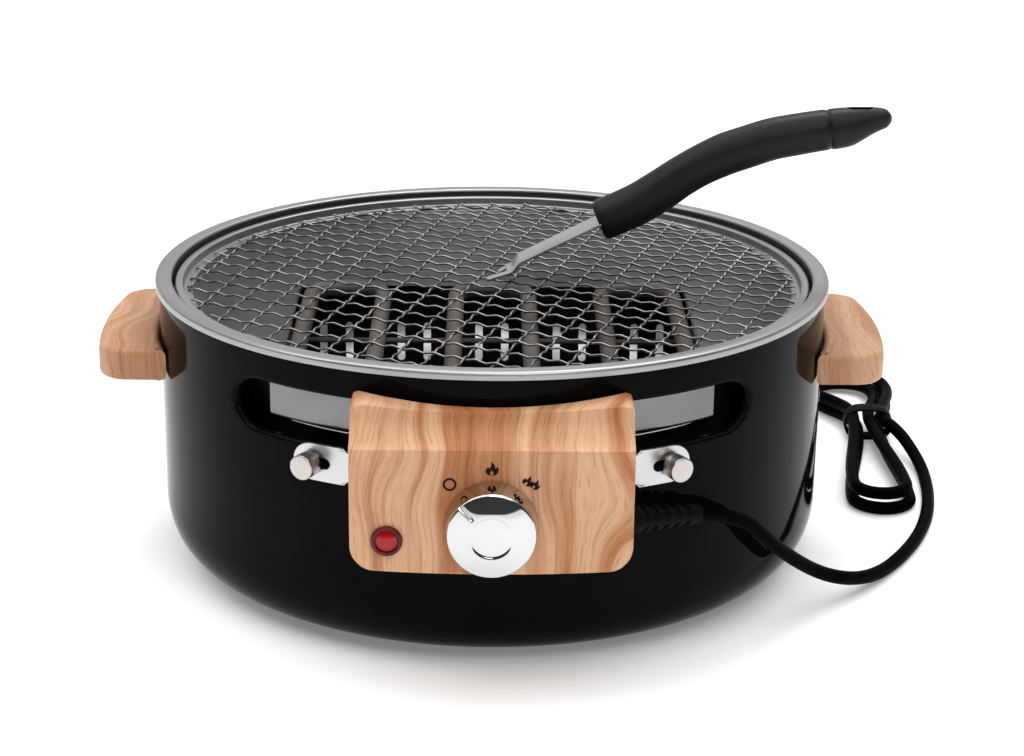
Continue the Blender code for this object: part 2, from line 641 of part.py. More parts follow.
def make_element():
    tube("heating_element", element_path(), ELEMENT_RADIUS, 1, "element_sheath")
    flange_start = PLATE_RADIUS - PLATE_FLANGE
    skin = [(flange_start, PLATE_BOTTOM), (PLATE_RADIUS, PLATE_BOTTOM), (PLATE_RADIUS, PLATE_TOP)]
    sheet = offset_line(skin, -PLATE_SHEET)[::-1]
    front_sector("element_face_plate", skin + sheet, PLATE_HALF_WIDTH, "satin_steel")
    neck_in, neck_out = PLATE_RADIUS + GAP, POT_RADIUS + STRAP_SHEET + GAP
    low, high = SLOT_Z - NECK_HEIGHT / 2, SLOT_Z + NECK_HEIGHT / 2
    front_sector("element_neck", band(neck_in, neck_out, low, high), NECK_HALF_WIDTH, "black_plastic")
    bore = ELEMENT_RADIUS + GAP
    for side, sign in (("left", -1), ("right", 1)):
        length = PLATE_RADIUS + BUSH_BACK
        sleeve = turned(band(bore, BUSH_RADIUS, 0, length), SMALL_STEPS)
        bush = finish_mesh("end_bush_" + side, sleeve, "ceramic",
                           (sign * OUTER_RUN_X, BUSH_BACK, ELEMENT_Z), towards((0, -1, 0)))
        inside = band(0, PLATE_INSIDE - GAP, PLATE_BOTTOM - OVERRUN, POT_TOP)
        guide = finish_mesh("bush_guide_" + side, turned(inside, 2 * ROUND_STEPS))
        boolean(bush, guide, "INTERSECT")


def make_strap():
    inner, outer = POT_RADIUS + GAP, POT_RADIUS + GAP + STRAP_SHEET
    low, high = STRAP_Z - STRAP_HEIGHT / 2, STRAP_Z + STRAP_HEIGHT / 2
    strap = front_sector("mounting_strap", band(inner, outer, low, high),
                         STRAP_HALF_WIDTH + GAP, "satin_steel")
    outline = rounded_rectangle((-STRAP_HALF_WIDTH, low - GAP), (STRAP_HALF_WIDTH, high + GAP),
                                STRAP_HEIGHT / 2, CORNER_STEPS)
    boolean(strap, finish_mesh("strap_outline_guide", front_prism(outline, 0, FASCIA_FACE)), "INTERSECT")
    for side, sign in (("left", -1), ("right", 1)):
        x = sign * STRAP_HOLE_X
        hole = rounded_rectangle((x - STRAP_HOLE_LENGTH / 2, STRAP_Z - STRAP_HOLE_HEIGHT / 2),
                                 (x + STRAP_HOLE_LENGTH / 2, STRAP_Z + STRAP_HOLE_HEIGHT / 2),
                                 STRAP_HOLE_HEIGHT / 2, 3)
        boolean(strap, finish_mesh("strap_hole_cutter_" + side, front_prism(hole, 0, FASCIA_FACE)))
        seat, outward = around_pot(sign * SCREW_ANGLE, outer + GAP, STRAP_Z)
        collar_top = SCREW_COLLAR_LENGTH
        head_top = collar_top + SCREW_HEAD_LENGTH
        rim, eased = SCREW_HEAD_RADIUS, SCREW_HEAD_RADIUS - SCREW_CHAMFER
        profile = [(0, -SCREW_INSIDE), (SCREW_SHANK, -SCREW_INSIDE), (SCREW_SHANK, 0),
                   (SCREW_COLLAR_RADIUS, 0), (SCREW_COLLAR_RADIUS, collar_top), (eased, collar_top),
                   (rim, collar_top + SCREW_CHAMFER), (rim, head_top - SCREW_CHAMFER), (eased, head_top),
                   (0, head_top)]
        finish_mesh("thumbscrew_" + side, turned(profile, SMALL_STEPS), "chrome", seat, towards(outward))
        nut_place, outward = around_pot(sign * SCREW_ANGLE, pot_inside() - GAP - NUT_LENGTH, STRAP_Z)
        nut = turned(band(SCREW_SHANK + GAP, NUT_RADIUS, 0, NUT_LENGTH), SMALL_STEPS)
        finish_mesh("clamp_nut_" + side, nut, "wire_steel", nut_place, towards(outward))


def fascia_side():
    """The (distance in front of the axis, height) outline of the fascia, seen from its side."""
    cove = [(FASCIA_FACE - COVE_DEPTH * math.sin(a), FASCIA_TOP - COVE_HEIGHT * math.cos(a))
            for a in np.linspace(0, math.pi / 2, FASCIA_COVE_STEPS + 1)]
    inside = POT_RADIUS * math.cos(math.asin(FASCIA_WIDTH / 2 / POT_RADIUS)) - OVERRUN
    return [(inside, FASCIA_BOTTOM), (FASCIA_FACE, FASCIA_BOTTOM)] + cove + [(inside, FASCIA_TOP)]


def make_fascia():
    half = FASCIA_WIDTH / 2
    builder = bmesh.new()
    rings = [[builder.verts.new((x, -forward, z)) for forward, z in fascia_side()] for x in (-half, half)]
    for index in range(len(rings[0])):
        builder.faces.new([rings[0][index - 1], rings[0][index], rings[1][index], rings[1][index - 1]])
    builder.faces.new(rings[0])
    builder.faces.new(rings[1])
    fascia = finish_mesh("fascia", builder, "light_wood")
    low, high = (-half - GAP, FASCIA_BOTTOM - GAP), (half + GAP, FASCIA_TOP + FASCIA_CORNER + GAP)
    corners = front_prism(rounded_rectangle(low, high, FASCIA_CORNER), 0, FASCIA_FACE + OVERRUN)
    boolean(fascia, finish_mesh("fascia_corner_guide", corners), "INTERSECT")
    back = POT_RADIUS + STRAP_SHEET + 2 * GAP
    hollow = turned(band(0, back, FASCIA_BOTTOM - OVERRUN, FASCIA_TOP + OVERRUN), 2 * ROUND_STEPS)
    boolean(fascia, finish_mesh("fascia_back_cutter", hollow))
    low, high = (-POCKET_HALF_WIDTH, POCKET_BOTTOM), (POCKET_HALF_WIDTH, POCKET_TOP)
    floor = FASCIA_FACE - POCKET_FRONT_WALL
    pocket = front_prism(rounded_rectangle(low, high, POCKET_CORNER, 2), POT_RADIUS * SLOT_BACK_SHARE, floor)
    boolean(fascia, finish_mesh("pocket_cutter", pocket))
    depth = POCKET_FRONT_WALL + 2 * OVERRUN
    for name, x, z, radius in (("shaft", 0, KNOB_Z, SHAFT_HOLE_RADIUS),
                               ("lamp", LAMP_X, LAMP_Z, LAMP_LENS_RADIUS + GAP)):
        hole = turned(band(0, radius, 0, depth), SMALL_STEPS)
        cutter = finish_mesh(name + "_hole_cutter", hole, None, (x, -floor + OVERRUN, z), towards((0, -1, 0)))
        boolean(fascia, cutter)
    low, high = POCKET_BOTTOM + GAP, POCKET_TOP - GAP
    cover = front_sector("back_cover", band(back + GAP, back + GAP + COVER_SHEET, low, high),
                         POCKET_HALF_WIDTH, "grey_plastic")
    half = POCKET_HALF_WIDTH - GAP
    outline = rounded_rectangle((-half, low), (half, high), POCKET_CORNER, 2)
    boolean(cover, finish_mesh("cover_outline_guide", front_prism(outline, 0, FASCIA_FACE)), "INTERSECT")


def facing_front(name, profile, steps, finish, x, depth, z):
    """A turned piece whose own axis points at the viewer, from a distance in front of the pot's axis."""
    return finish_mesh(name, turned(profile, steps), finish, (x, -depth, z), towards((0, -1, 0)))


def make_controls():
    pocket_floor = FASCIA_FACE - POCKET_FRONT_WALL
    switch_front = pocket_floor - GAP
    bore = SHAFT_RADIUS + GAP
    bore_depth = SWITCH_LENGTH - SHAFT_IN_SWITCH - GAP
    facing_front("rotary_switch", [(0, 0), (SWITCH_RADIUS, 0), (SWITCH_RADIUS, SWITCH_LENGTH),
                                   (bore, SWITCH_LENGTH), (bore, bore_depth), (0, bore_depth)],
                 SMALL_STEPS, "grey_plastic", 0, switch_front - SWITCH_LENGTH, KNOB_Z)
    knob_back = FASCIA_FACE + GAP
    shaft_start = switch_front - SHAFT_IN_SWITCH
    facing_front("knob_shaft", band(0, SHAFT_RADIUS, 0, knob_back + SHAFT_IN_KNOB - shaft_start),
                 SMALL_STEPS, "plug_brass", 0, shaft_start, KNOB_Z)
    bore_end = SHAFT_IN_KNOB + GAP
    front = KNOB_LENGTH
    dimple = front - KNOB_DIMPLE_DEPTH
    profile = [(bore, 0), (KNOB_BASE_RADIUS, 0), (KNOB_FRONT_RADIUS, front - KNOB_CHAMFER),
               (KNOB_FRONT_RADIUS - KNOB_CHAMFER, front), (KNOB_DIMPLE_RADIUS, front),
               (KNOB_DIMPLE_RADIUS - KNOB_DIMPLE_DEPTH, dimple), (0, dimple), (0, bore_end), (bore, bore_end)]
    knob = facing_front("control_knob", profile, KNOB_STEPS, "chrome", 0, knob_back, KNOB_Z)
    lean = math.radians(POINTER_ANGLE)
    outward = Vector((math.sin(lean), 0, math.cos(lean)))
    forward = Vector((0, -1, 0))
    half = POINTER_WIDTH / 2
    groove = rounded_rectangle((-half, POINTER_INNER), (half, KNOB_BASE_RADIUS + OVERRUN), half / 2, 1)
    bottom = -(knob_back + front - POINTER_DEPTH)
    cutter = stacked([(groove, 0), (groove, OVERRUN)])
    turn = Matrix((outward.cross(forward), outward, forward)).transposed().to_quaternion()
    boolean(knob, finish_mesh("pointer_cutter", cutter, None, (0, bottom, KNOB_Z), turn))
    lens_room = LAMP_LENS_RADIUS + GAP
    facing_front("lamp_bezel", [(lens_room, 0), (LAMP_BEZEL_RADIUS, 0),
                                (LAMP_BEZEL_RADIUS - LAMP_BEZEL_HEIGHT / 2, LAMP_BEZEL_HEIGHT),
                                (lens_room, LAMP_BEZEL_HEIGHT)],
                 SMALL_STEPS, "black_plastic", LAMP_X, knob_back, LAMP_Z)
    facing_front("lamp_lens", [(0, 0), (LAMP_LENS_RADIUS, 0), (LAMP_LENS_RADIUS, LAMP_BEZEL_HEIGHT),
                               (LAMP_LENS_RADIUS / 2, LAMP_LENS_HEIGHT), (0, LAMP_LENS_HEIGHT)],
                 SMALL_STEPS, "red_lens", LAMP_X, knob_back, LAMP_Z)
    facing_front("lamp_body", band(0, LAMP_LENS_RADIUS, 0, LAMP_BODY_LENGTH),
                 SMALL_STEPS, "grey_plastic", LAMP_X, FASCIA_FACE - LAMP_BODY_LENGTH, LAMP_Z)
    width, deep, high = TERMINAL_SIZE
    block = rounded_rectangle((TERMINAL_X - width / 2, TERMINAL_Z - high / 2),
                              (TERMINAL_X + width / 2, TERMINAL_Z + high / 2), TERMINAL_CORNER, 2)
    finish_mesh("terminal_block", front_prism(block, switch_front - deep, switch_front), "ceramic")


def handle_outline(inset):
    """Plan of the right handle: bowed outer face, round outer corners, inner end sunk past the pot wall."""
    end = HANDLE_HALF_LENGTH - inset
    radius = HANDLE_CORNER - inset
    chord = HANDLE_HALF_LENGTH - HANDLE_CORNER
    bow_radius = (chord ** 2 + HANDLE_BOW ** 2) / (2 * HANDLE_BOW)
    corner_x = HANDLE_REACH - HANDLE_BOW - HANDLE_CORNER
    inner = math.sqrt(POT_RADIUS ** 2 - HANDLE_HALF_LENGTH ** 2) - OVERRUN
    half_bow = math.degrees(math.asin(chord / bow_radius))
    face = arc((HANDLE_REACH - bow_radius, 0), bow_radius - inset, -half_bow, half_bow, 2 * CORNER_STEPS)
    return ([(inner, -end)] + arc((corner_x, -chord), radius, -90, -half_bow, 2 * CORNER_STEPS)[:-1] + face
            + arc((corner_x, chord), radius, half_bow, 90, 2 * CORNER_STEPS)[1:] + [(inner, end)])


def make_handles():
    wood_back = POT_RADIUS + HANDLE_CLEARANCE
    middle = (HANDLE_TOP + HANDLE_BOTTOM) / 2
    bore = HANDLE_SCREW_RADIUS + GAP
    for side, sign in (("left", -1), ("right", 1)):
        full = [(sign * x, y) for x, y in handle_outline(0)]
        eased = [(sign * x, y) for x, y in handle_outline(HANDLE_EDGE)]
        builder = stacked([(eased, HANDLE_BOTTOM), (full, HANDLE_BOTTOM + HANDLE_EDGE),
                           (full, HANDLE_TOP - HANDLE_EDGE), (eased, HANDLE_TOP)])
        handle = finish_mesh("handle_" + side, builder, "light_wood")
        low, high = HANDLE_BOTTOM - OVERRUN, HANDLE_TOP + OVERRUN
        hollow = turned(band(0, wood_back, low, high), 2 * ROUND_STEPS)
        boolean(handle, finish_mesh("handle_back_cutter_" + side, hollow))
        for number, degrees in enumerate(handle_screw_angles()[side]):
            tag = f"{side}_{'front' if abs(degrees) < 90 else 'rear'}"
            boolean(handle, radial_cutter(f"handle_bore_cutter_{side}_{number}", degrees, middle, bore,
                                          wood_back - OVERRUN, wood_back + HANDLE_SCREW_IN_WOOD + GAP))
            seat, outward = around_pot(degrees, POT_RADIUS + GAP, middle)
            spacer = turned(band(bore, SPACER_RADIUS, 0, HANDLE_CLEARANCE - 2 * GAP), SMALL_STEPS)
            finish_mesh("handle_spacer_" + tag, spacer, "black_plastic", seat, towards(outward))
            head_seat = pot_inside() - GAP
            seat, outward = around_pot(degrees, head_seat, middle)
            reach = wood_back + HANDLE_SCREW_IN_WOOD - head_seat
            screw = turned([(0, -HANDLE_SCREW_HEAD_LENGTH), (HANDLE_SCREW_HEAD, -HANDLE_SCREW_HEAD_LENGTH),
                            (HANDLE_SCREW_HEAD, 0), (HANDLE_SCREW_RADIUS, 0), (HANDLE_SCREW_RADIUS, reach),
                            (0, reach)], SMALL_STEPS)
            finish_mesh("handle_screw_" + tag, screw, "wire_steel", seat, towards(outward))


def clip_to_circle(polygon, radius, steps):
    """The part of a convex polygon that lies inside a many-sided circle."""
    for index in range(steps):
        angle = 2 * math.pi * (index + 0.5) / steps
        normal = Vector((math.cos(angle), math.sin(angle)))
        reach = radius * math.cos(math.pi / steps)
        kept = []
        for number, point in enumerate(polygon):
            before = polygon[number - 1]
            inside, was_inside = point.dot(normal) <= reach, before.dot(normal) <= reach
            if inside != was_inside:
                share = (reach - before.dot(normal)) / (point - before).dot(normal)
                kept.append(before.lerp(point, share))
            if inside:
                kept.append(point)
        polygon = kept
        if len(polygon) < 3:
            return []
    return polygon


def polygon_area(polygon):
    return abs(sum(polygon[i - 1].cross(polygon[i]) for i in range(len(polygon)))) / 2


def net_radius():
    """The net's own outer radius, inside the flats of its ring."""
    return NET_RING_INNER * math.cos(math.pi / ROUND_STEPS) - GAP


def net_cells():
    """The gaps between the wires of the two families, cut off by the net's own rim band."""
    run_a = Vector((math.cos(math.radians(NET_ANGLE_A)), math.sin(math.radians(NET_ANGLE_A))))
    run_b = Vector((math.cos(math.radians(NET_ANGLE_B)), math.sin(math.radians(NET_ANGLE_B))))
    lean = abs(run_a.cross(run_b))
    step_a = run_b * NET_PITCH_A / lean
    step_b = run_a * NET_PITCH_B / lean
    half_a, half_b = (NET_PITCH_A - NET_WIRE) / lean / 2, (NET_PITCH_B - NET_WIRE) / lean / 2
    inside = net_radius() - NET_BAND
    reach = int(2 * inside / min(NET_PITCH_A, NET_PITCH_B)) + 1
    whole_area = 4 * half_a * half_b * lean
    cells = []
    for i in range(-reach, reach + 1):
        for j in range(-reach, reach + 1):
            centre = Vector(NET_CROSSING) + step_a * (i + 0.5) + step_b * (j + 0.5)
            if centre.length > inside + NET_PITCH_B:
                continue
            corners = [centre + run_b * a * half_a + run_a * b * half_b
                       for a, b in ((-1, -1), (1, -1), (1, 1), (-1, 1))]
            cell = clip_to_circle(corners, inside, NET_CIRCLE_STEPS)
            if cell and polygon_area(cell) > NET_LEAST_CELL_SHARE * whole_area:
                cells.append(cell)
    return cells


def make_net():
    bottom = LEDGE_Z + GAP
    seat = bottom + NET_SEAT_HEIGHT
    top = bottom + NET_RING_HEIGHT
    finish_mesh("net_ring", turned([(NET_SEAT_INNER, bottom), (NET_RING_OUTER, bottom), (NET_RING_OUTER, top),
                                    (NET_RING_INNER, top), (NET_RING_INNER, seat), (NET_SEAT_INNER, seat)],
                                   ROUND_STEPS), "satin_steel")
    cells = net_cells()
    rim = [Vector(p) for p in arc((0, 0), net_radius(), 0, 360, NET_CIRCLE_STEPS)[:-1]]
    low = seat + GAP
    builder = bmesh.new()
    for outline in [rim] + cells:
        verts = [builder.verts.new((p.x, p.y, low)) for p in outline]
        for index in range(len(verts)):
            builder.edges.new((verts[index - 1], verts[index]))
    bmesh.ops.triangle_fill(builder, use_beauty=True, edges=builder.edges)
    grown = bmesh.ops.extrude_face_region(builder, geom=list(builder.faces))
    risen = [v for v in grown["geom"] if isinstance(v, bmesh.types.BMVert)]
    bmesh.ops.translate(builder, verts=risen, vec=(0, 0, NET_WIRE))
    finish_mesh("grill_net", builder, "wire_steel")
    print("net gaps:", len(cells))
    return low + NET_WIRE


def lofted(stations, steps):
    """A solid through elliptic sections.

    Each station has a centre, a tangent in the XZ plane and two radii.
    """
    builder = bmesh.new()
    rings = []
    for centre, tangent, half_width, half_height in stations:
        across = Vector((0, 1, 0))
        upward = tangent.cross(across)
        ring = []
        for index in range(steps):
            angle = 2 * math.pi * index / steps
            ring.append(builder.verts.new(centre + across * half_width * math.cos(angle)
                                          + upward * half_height * math.sin(angle)))
        rings.append(ring)
    for lower, upper in zip(rings, rings[1:]):
        for index in range(steps):
            builder.faces.new([lower[index - 1], lower[index], upper[index], upper[index - 1]])
    builder.faces.new(rings[0])
    builder.faces.new(rings[-1])
    return builder


def make_lifter(net_top):
    rest = net_top + GAP
    lean = math.radians(TONGUE_ANGLE)
    along = Vector((math.cos(lean), 0, math.sin(lean)))
    bend = Vector((TONGUE_BEND_X, LIFTER_Y, rest + TONGUE_BEND_RISE))
    tip = Vector((TINE_TIP_X, LIFTER_Y, rest))
    end = bend + along * TONGUE_LENGTH
    half, sheet = TONGUE_HALF_WIDTH, TONGUE_SHEET
    slit = half - TINE_WIDTH
    root = bend - (bend - tip).normalized() * sheet
    plan = [(tip, -half), (bend, -half), (end, -half), (end, half), (bend, half), (tip, half), (tip, slit),
            (root, slit), (root, -slit), (tip, -slit)]
    builder = bmesh.new()
    lower = [builder.verts.new(at + Vector((0, y, 0))) for at, y in plan]
    upper = [builder.verts.new(v.co + Vector((0, 0, sheet / math.cos(lean)))) for v in lower]
    for index in range(len(plan)):
        builder.faces.new([lower[index - 1], lower[index], upper[index], upper[index - 1]])
    for ring in (lower, upper):
        builder.faces.new([ring[i] for i in (1, 2, 3, 4, 7, 8)])
        builder.faces.new([ring[i] for i in (0, 1, 8, 9)])
        builder.faces.new([ring[i] for i in (4, 5, 6, 7)])
    finish_mesh("lifter_tongue", builder, "satin_steel")
    route = [(x, LIFTER_Y, POT_TOP + rise) for x, rise in GRIP_ROUTE]
    length_steps = smooth_route(route, GRIP_HALF_WIDTH)[1] / GRIP_STATIONS
    centres, _ = smooth_route(route, length_steps)
    knots = np.linspace(0, 1, len(GRIP_WIDTH_SHARES))
    stations = []
    for index, centre in enumerate(centres):
        share = index / (len(centres) - 1)
        ahead, behind = centres[min(index + 1, len(centres) - 1)], centres[max(index - 1, 0)]
        width = GRIP_HALF_WIDTH * np.interp(share, knots, GRIP_WIDTH_SHARES)
        height = GRIP_HALF_HEIGHT * np.interp(share, knots, GRIP_HEIGHT_SHARES)
        stations.append((centre, (ahead - behind).normalized(), width, height))
    grip = finish_mesh("lifter_grip", lofted(stations, GRIP_STEPS), "black_plastic")
    deep, wide = sheet / 2 + 2 * GAP, half + GAP
    pocket = rounded_rectangle((-deep, -wide), (deep, wide), GAP, 1)
    start = bend + along * TONGUE_LENGTH / 2 + Vector((0, 0, sheet / 2 / math.cos(lean)))
    reach = TONGUE_LENGTH / 2 + sheet + GAP
    across = Vector((0, 1, 0))
    turn = Matrix((across.cross(along), across, along)).transposed().to_quaternion()
    pocket_solid = stacked([(pocket, 0), (pocket, reach)])
    boolean(grip, finish_mesh("tongue_pocket_cutter", pocket_solid, None, start, turn))
    hole = rounded_rectangle((GRIP_HOLE_X - GRIP_HOLE_LENGTH / 2, LIFTER_Y - GRIP_HOLE_WIDTH / 2),
                             (GRIP_HOLE_X + GRIP_HOLE_LENGTH / 2, LIFTER_Y + GRIP_HOLE_WIDTH / 2),
                             GRIP_HOLE_WIDTH / 2, 3)
    low, high = route[-1][2] - 4 * GRIP_HALF_HEIGHT, route[-1][2] + 4 * GRIP_HALF_HEIGHT
    boolean(grip, finish_mesh("grip_hole_cutter", stacked([(hole, low), (hole, high)])))


def hank_stations():
    """Lengths along one loop at which it has a point, closer together round its two ends."""
    near_arc, far_arc = math.pi * HANK_NEAR_RADIUS, math.pi * HANK_FAR_RADIUS
    spans = [(HANK_FAR_RUN, HANK_RUN_POINTS), (far_arc, HANK_ARC_POINTS),
             (HANK_FAR_RUN + HANK_NEAR_RUN, 2 * HANK_RUN_POINTS), (near_arc, HANK_ARC_POINTS),
             (HANK_NEAR_RUN, HANK_RUN_POINTS)]
    places, start = [], 0.0
    for length, count in spans:
        places += [start + length * number / count for number in range(count)]
        start += length
    return places, start


def on_hank(turns, total):
    """A point of the hank after so many turns, along its axis, across it and up.

    A loop is two straight runs joined by half circles. Its width is drawn in at the waist by a
    squared cosine, and falls steadily with the turns to the middle one, then grows again. There
    the cord steps down from the upper layer to the lower one.
    """
    depth = min(turns, HANK_TURNS - turns) * HANK_STEP
    length = (turns - math.floor(turns)) * total
    near_arc, far_arc = math.pi * HANK_NEAR_RADIUS, math.pi * HANK_FAR_RADIUS
    waist = HANK_WAIST - depth
    far_width, near_width = HANK_FAR_RADIUS - depth, HANK_NEAR_RADIUS - depth

    def run(u):
        reach, width = (HANK_FAR_RUN, far_width) if u > 0 else (HANK_NEAR_RUN, near_width)
        return width - (width - waist) * math.cos(math.pi / 2 * u / reach) ** 2

    back = HANK_FAR_RUN + far_arc
    front = back + HANK_FAR_RUN + HANK_NEAR_RUN
    if length < HANK_FAR_RUN:
        u, v = length, run(length)
    elif length < back:
        angle = math.pi / 2 - (length - HANK_FAR_RUN) / HANK_FAR_RADIUS
        u, v = HANK_FAR_RUN + far_width * math.cos(angle), far_width * math.sin(angle)
    elif length < front:
        u = HANK_FAR_RUN - (length - back)
        v = -run(u)
    elif length < front + near_arc:
        angle = -math.pi / 2 - (length - front) / HANK_NEAR_RADIUS
        u, v = -HANK_NEAR_RUN + near_width * math.cos(angle), near_width * math.sin(angle)
    else:
        u = length - total
        v = run(u)
    drop = min(max((turns - HANK_TURNS / 2) * 2 + 0.5, 0), 1)
    drop = drop * drop * (3 - 2 * drop)
    lift = TIE_BAND + 2 * GAP
    near_waist = math.cos(math.pi / 2 * min(abs(u) / HANK_FAR_RUN, 1)) ** 2
    return u, v, CORD_DIAMETER / 2 + lift * near_waist + HANK_STEP * (1 - drop)


def beside_pot(degrees, room, height):
    """A place at some room outside the pot's wall, by degrees from the front."""
    return around_pot(degrees, POT_RADIUS + room, height)[0]


def hank_to_world(u, v, z):
    """From along and across the hank to the pot's own frame; the far half bends round the pot."""
    heading = math.radians(HANK_HEADING)
    centre = beside_pot(*TIE_PLACE, z)
    if u > 0:
        turn = u / HANK_BOW_RADIUS
        along, aside = HANK_BOW_RADIUS * math.sin(turn), HANK_BOW_RADIUS * (1 - math.cos(turn))
    else:
        turn, along, aside = 0.0, u, 0.0
    forward = Vector((math.cos(heading), math.sin(heading), 0))
    left = Vector((-forward.y, forward.x, 0))
    right_here = Vector((math.sin(heading + turn), -math.cos(heading + turn), 0))
    return centre + forward * along + left * aside + right_here * v


def least_gap(points, diameter):
    """The least room between two stretches of a tube that lie well apart along it."""
    spots, travelled, so_far = [], [], 0.0
    for a, b in zip(points, points[1:]):
        pieces = max(1, round((b - a).length / (diameter * SAMPLE_SHARE)))
        for number in range(pieces):
            spots.append(a.lerp(b, number / pieces))
            travelled.append(so_far + (b - a).length * number / pieces)
        so_far += (b - a).length
    spots, travelled = np.array(spots), np.array(travelled)
    least = math.inf
    for index in range(len(spots)):
        others = travelled > travelled[index] + LOOP_SHARE * diameter
        if others.any():
            least = min(least, np.linalg.norm(spots[others] - spots[index], axis=1).min())
    return least - diameter, so_far


def make_cord():
    start = Vector((FASCIA_WIDTH / 2 + RELIEF_OUT, RELIEF_SETBACK - FASCIA_FACE, KNOB_Z - RELIEF_DROP))
    end = start + Vector(RELIEF_RUN)
    length = (end - start).length
    pitch = length / (RELIEF_RIBS + 1)
    profile = [(0, -RELIEF_RADIUS), (RELIEF_RADIUS, -RELIEF_RADIUS)]
    for rib in range(RELIEF_RIBS):
        for share, sunk in RELIEF_RIB_SHARES:
            at = (rib + share) * pitch
            taper = (RELIEF_TIP_RADIUS - RELIEF_RADIUS) * at / length
            profile.append((RELIEF_RADIUS + taper - sunk * RELIEF_GROOVE, at))
    profile += [(RELIEF_TIP_RADIUS, length), (0, length)]
    relief = finish_mesh("strain_relief", turned(profile, SMALL_STEPS), "black_rubber",
                         start, towards(end - start))
    side = rounded_rectangle((0, FASCIA_BOTTOM), (FASCIA_WIDTH / 2 + GAP, FASCIA_TOP), GAP, 1)
    boolean(relief, finish_mesh("relief_seat_cutter", front_prism(side, 0, FASCIA_FACE + OVERRUN)))

    places, total = hank_stations()
    wound = []
    turn_count = math.floor(HANK_TURNS)
    for turn in range(turn_count + 1):
        wound += [turn + at / total for at in places if turn + at / total < HANK_TURNS]
    far_tip = (HANK_FAR_RUN + math.pi * HANK_FAR_RADIUS / 2) / total
    wound = [t for t in wound if t < turn_count + far_tip] + [turn_count + far_tip]
    points = [hank_to_world(*on_hank(t, total)) for t in wound]
    first, last = points[0], points[-1]
    into = (hank_to_world(0, 0, 0) - hank_to_world(-HANK_NEAR_RUN, 0, 0)).normalized()
    far_right = hank_to_world(HANK_FAR_RUN, HANK_WAIST, 0)
    far_left = hank_to_world(HANK_FAR_RUN, -HANK_WAIST, 0)
    out = (far_left - far_right).normalized()
    points = [first - into * CORD_DIAMETER] + points + [last + out * CORD_DIAMETER]
    gap, hank_length = least_gap(points, CORD_DIAMETER)
    tube("cord_hank", points, CORD_DIAMETER / 2, 1, "cord_sheath")
    print(f"hank: {hank_length:.3f} m, least gap to itself {gap * 1000:.2f} mm")

    leave = (end - start).normalized()
    route = [beside_pot(*place) for place in CORD_ROUTE]
    free_length = free_stretch("power_cord", end + leave * GAP, leave, route, points[0] - into * GAP, into)
    plug_in = beside_pot(*PLUG_PLACE, PLUG_FACE_RADIUS + GAP)
    heading = math.radians(PLUG_HEADING)
    plug_axis = Vector((math.cos(heading), math.sin(heading), 0))
    route = [beside_pot(*place) for place in TAIL_ROUTE]
    tail_length = free_stretch("cord_tail", points[-1] + out * GAP, out, route,
                               plug_in - plug_axis * GAP, plug_axis)
    print(f"cord: {free_length + hank_length + tail_length:.3f} m in all, free {free_length:.3f}, "
          f"tail {tail_length:.3f}")
    make_tie()
    make_plug(plug_in, plug_axis)


def make_tie():
    """A flat band round the hank's waist, standing on the table."""
    height = TIE_BAND * 2 + GAP * 4 + CORD_DIAMETER + HANK_STEP
    left = HANK_WAIST - HANK_STEP / 2 + CORD_DIAMETER / 2 + TIE_ROOM
    right = HANK_WAIST + CORD_DIAMETER / 2 + TIE_ROOM
    corner = CORD_DIAMETER / 2
    outer = rounded_rectangle((-left - TIE_BAND, 0), (right + TIE_BAND, height), corner + TIE_BAND)
    inner = rounded_rectangle((-left, TIE_BAND), (right, height - TIE_BAND), corner)
    builder = bmesh.new()
    rings = []
    along = (hank_to_world(0, 0, 0) - hank_to_world(-TIE_WIDTH, 0, 0)).normalized()
    for outline in (outer, inner):
        for at in (-TIE_WIDTH / 2, TIE_WIDTH / 2):
            rings.append([builder.verts.new(hank_to_world(0, v, z) + along * at) for v, z in outline])
    for one, other in ((0, 1), (1, 3), (3, 2), (2, 0)):
        for index in range(len(outer)):
            a, b = rings[one], rings[other]
            builder.faces.new([a[index - 1], a[index], b[index], b[index - 1]])
    finish_mesh("cord_tie", builder, "black_plastic")


def make_plug(rear, axis):
    face = PLUG_LENGTH
    flange = face - PLUG_FLANGE_LENGTH
    profile = [(0, 0), (PLUG_REAR_RADIUS, 0), (PLUG_GRIP_RADIUS, PLUG_FLANGE_LENGTH),
               (PLUG_GRIP_RADIUS, flange), (PLUG_FACE_RADIUS, flange + GAP),
               (PLUG_FACE_RADIUS, face), (0, face)]
    body = finish_mesh("plug_body", turned(profile, SMALL_STEPS + CORNER_STEPS), "black_plastic",
                       rear, towards(axis))
    level = axis.cross(Vector((0, 0, 1))).normalized()
    for side, sign in (("left", -1), ("right", 1)):
        seat = rear + axis * (face - PIN_SUNK) + level * (sign * PIN_SPACING / 2)
        bore = turned(band(0, PIN_RADIUS + GAP, -GAP, PIN_SUNK + OVERRUN), SMALL_STEPS)
        boolean(body, finish_mesh("pin_bore_cutter_" + side, bore, None, seat, towards(axis)))
        pin = [(0, 0), (PIN_RADIUS, 0), (PIN_RADIUS, PIN_SUNK + PIN_LENGTH - PIN_RADIUS),
               (PIN_RADIUS / 2, PIN_SUNK + PIN_LENGTH), (0, PIN_SUNK + PIN_LENGTH)]
        finish_mesh("plug_pin_" + side, turned(pin, SMALL_STEPS), "plug_brass", seat, towards(axis))


